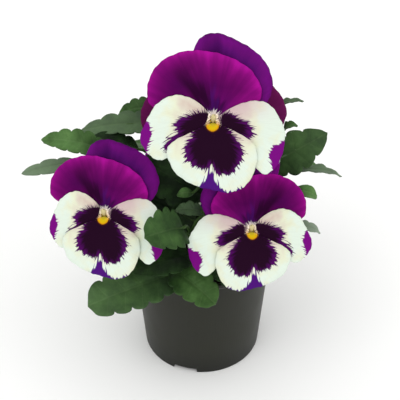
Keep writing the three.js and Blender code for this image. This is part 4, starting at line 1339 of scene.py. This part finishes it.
# %% The pot's plastic
def pot_material():
    material, tree, shader = new_material("recycled_black_plastic")
    place = add_node(tree, "TexCoord").outputs["Object"]
    dust = add_node(tree, "TexNoise", place, Scale=60.0, Detail=4.0)
    grain = add_node(tree, "TexNoise", place, Scale=2500.0, Detail=2.0)
    height = add_node(tree, "SeparateXYZ", place).outputs["Z"]
    rise = add_node(tree, "MapRange", height, 0.0, 20 * MM)
    dusty = add_node(tree, "MixRGB", dust, linear("#1B1C15"), linear("#24251B"))
    colour = add_node(tree, "MixRGB", rise, linear("#171813"), dusty)
    bump = add_node(tree, "Bump", Strength=0.25, Distance=0.08 * MM, Height=grain)
    roughness = add_node(tree, "MapRange", dust, 0.0, 1.0, 0.45, 0.62)
    set_inputs(tree, shader, {
        "Base Color": colour, "Normal": bump, "Roughness": roughness, "IOR": 1.5, "Specular IOR Level": 0.22,
        "Sheen Weight": 0.06, "Sheen Roughness": 0.4,
    })
    return material


# %% The pot
NOTCHES = 3
NOTCH_AT = 253  # degrees round the pot
NOTCH_SIZE = (8, 16, 6.8)
DRAINS = 6
DRAIN_RADIUS = 3.5
DRAIN_REACH = 29
POT_SIDES = 144
POT_PROFILE = [
    (0, 0), (17, 0), (18, 0.3), (20, 4), (37, 4), (37, 0.3), (37.3, 0), (38.0, 0), (38.3, 0.4),
    (pot_radius(40), 40), (pot_radius(80.4), 80.4), (pot_radius(81) + 0.4, 81.1), (45.6, 81.8), (46.1, 82.6),
    (46.2, 84.0), (45.9, 84.7), (45.3, 85), (44.3, 85), (43.8, 84.7), (pot_radius(80) - POT_WALL, 80),
    (pot_radius(30) - POT_WALL, 30), (pot_radius(5.3) - POT_WALL, 5.3), (20 - POT_WALL, 5.3),
    (18 - POT_WALL, POT_WALL), (0, POT_WALL),
]
bm = bmesh.new()
spin_profile(bm, POT_PROFILE, POT_SIDES)
bmesh.ops.recalc_face_normals(bm, faces=bm.faces)
pot = finish_mesh("pot_fine", bm, TO_METRES, [pot_material()])

bm = bmesh.new()
for k in range(NOTCHES):
    turn = Matrix.Rotation(math.radians(NOTCH_AT + 360 // NOTCHES * k), 4, "Z")
    block = turn @ Matrix.Translation((POT_FOOT_RADIUS, 0, 0)) @ Matrix.Diagonal((*NOTCH_SIZE, 1))
    bmesh.ops.create_cube(bm, size=1.0, matrix=block)
for k in range(DRAINS):
    turn = Matrix.Rotation(math.radians(30 + 360 // DRAINS * k), 4, "Z")
    hole = turn @ Matrix.Translation((DRAIN_REACH, 0, POT_FLOOR + POT_WALL / 2))
    size = dict(radius1=DRAIN_RADIUS, radius2=DRAIN_RADIUS, depth=4 * POT_WALL)
    bmesh.ops.create_cone(bm, segments=32, cap_ends=True, matrix=hole, **size)
cutter = finish_mesh("pot_cutter", bm, TO_METRES, [])
cut = pot.modifiers.new("notches_and_drains", "BOOLEAN")
cut.operation = "DIFFERENCE"
cut.solver = "EXACT"
cut.object = cutter
bpy.context.view_layer.update()
cut_mesh = bpy.data.meshes.new_from_object(pot.evaluated_get(bpy.context.evaluated_depsgraph_get()))
pot.modifiers.clear()
pot.data = cut_mesh
bpy.data.objects.remove(cutter)
stand_for(pot, "pot_plastic", "pot")
print("pot:", len(pot.data.polygons), "faces")
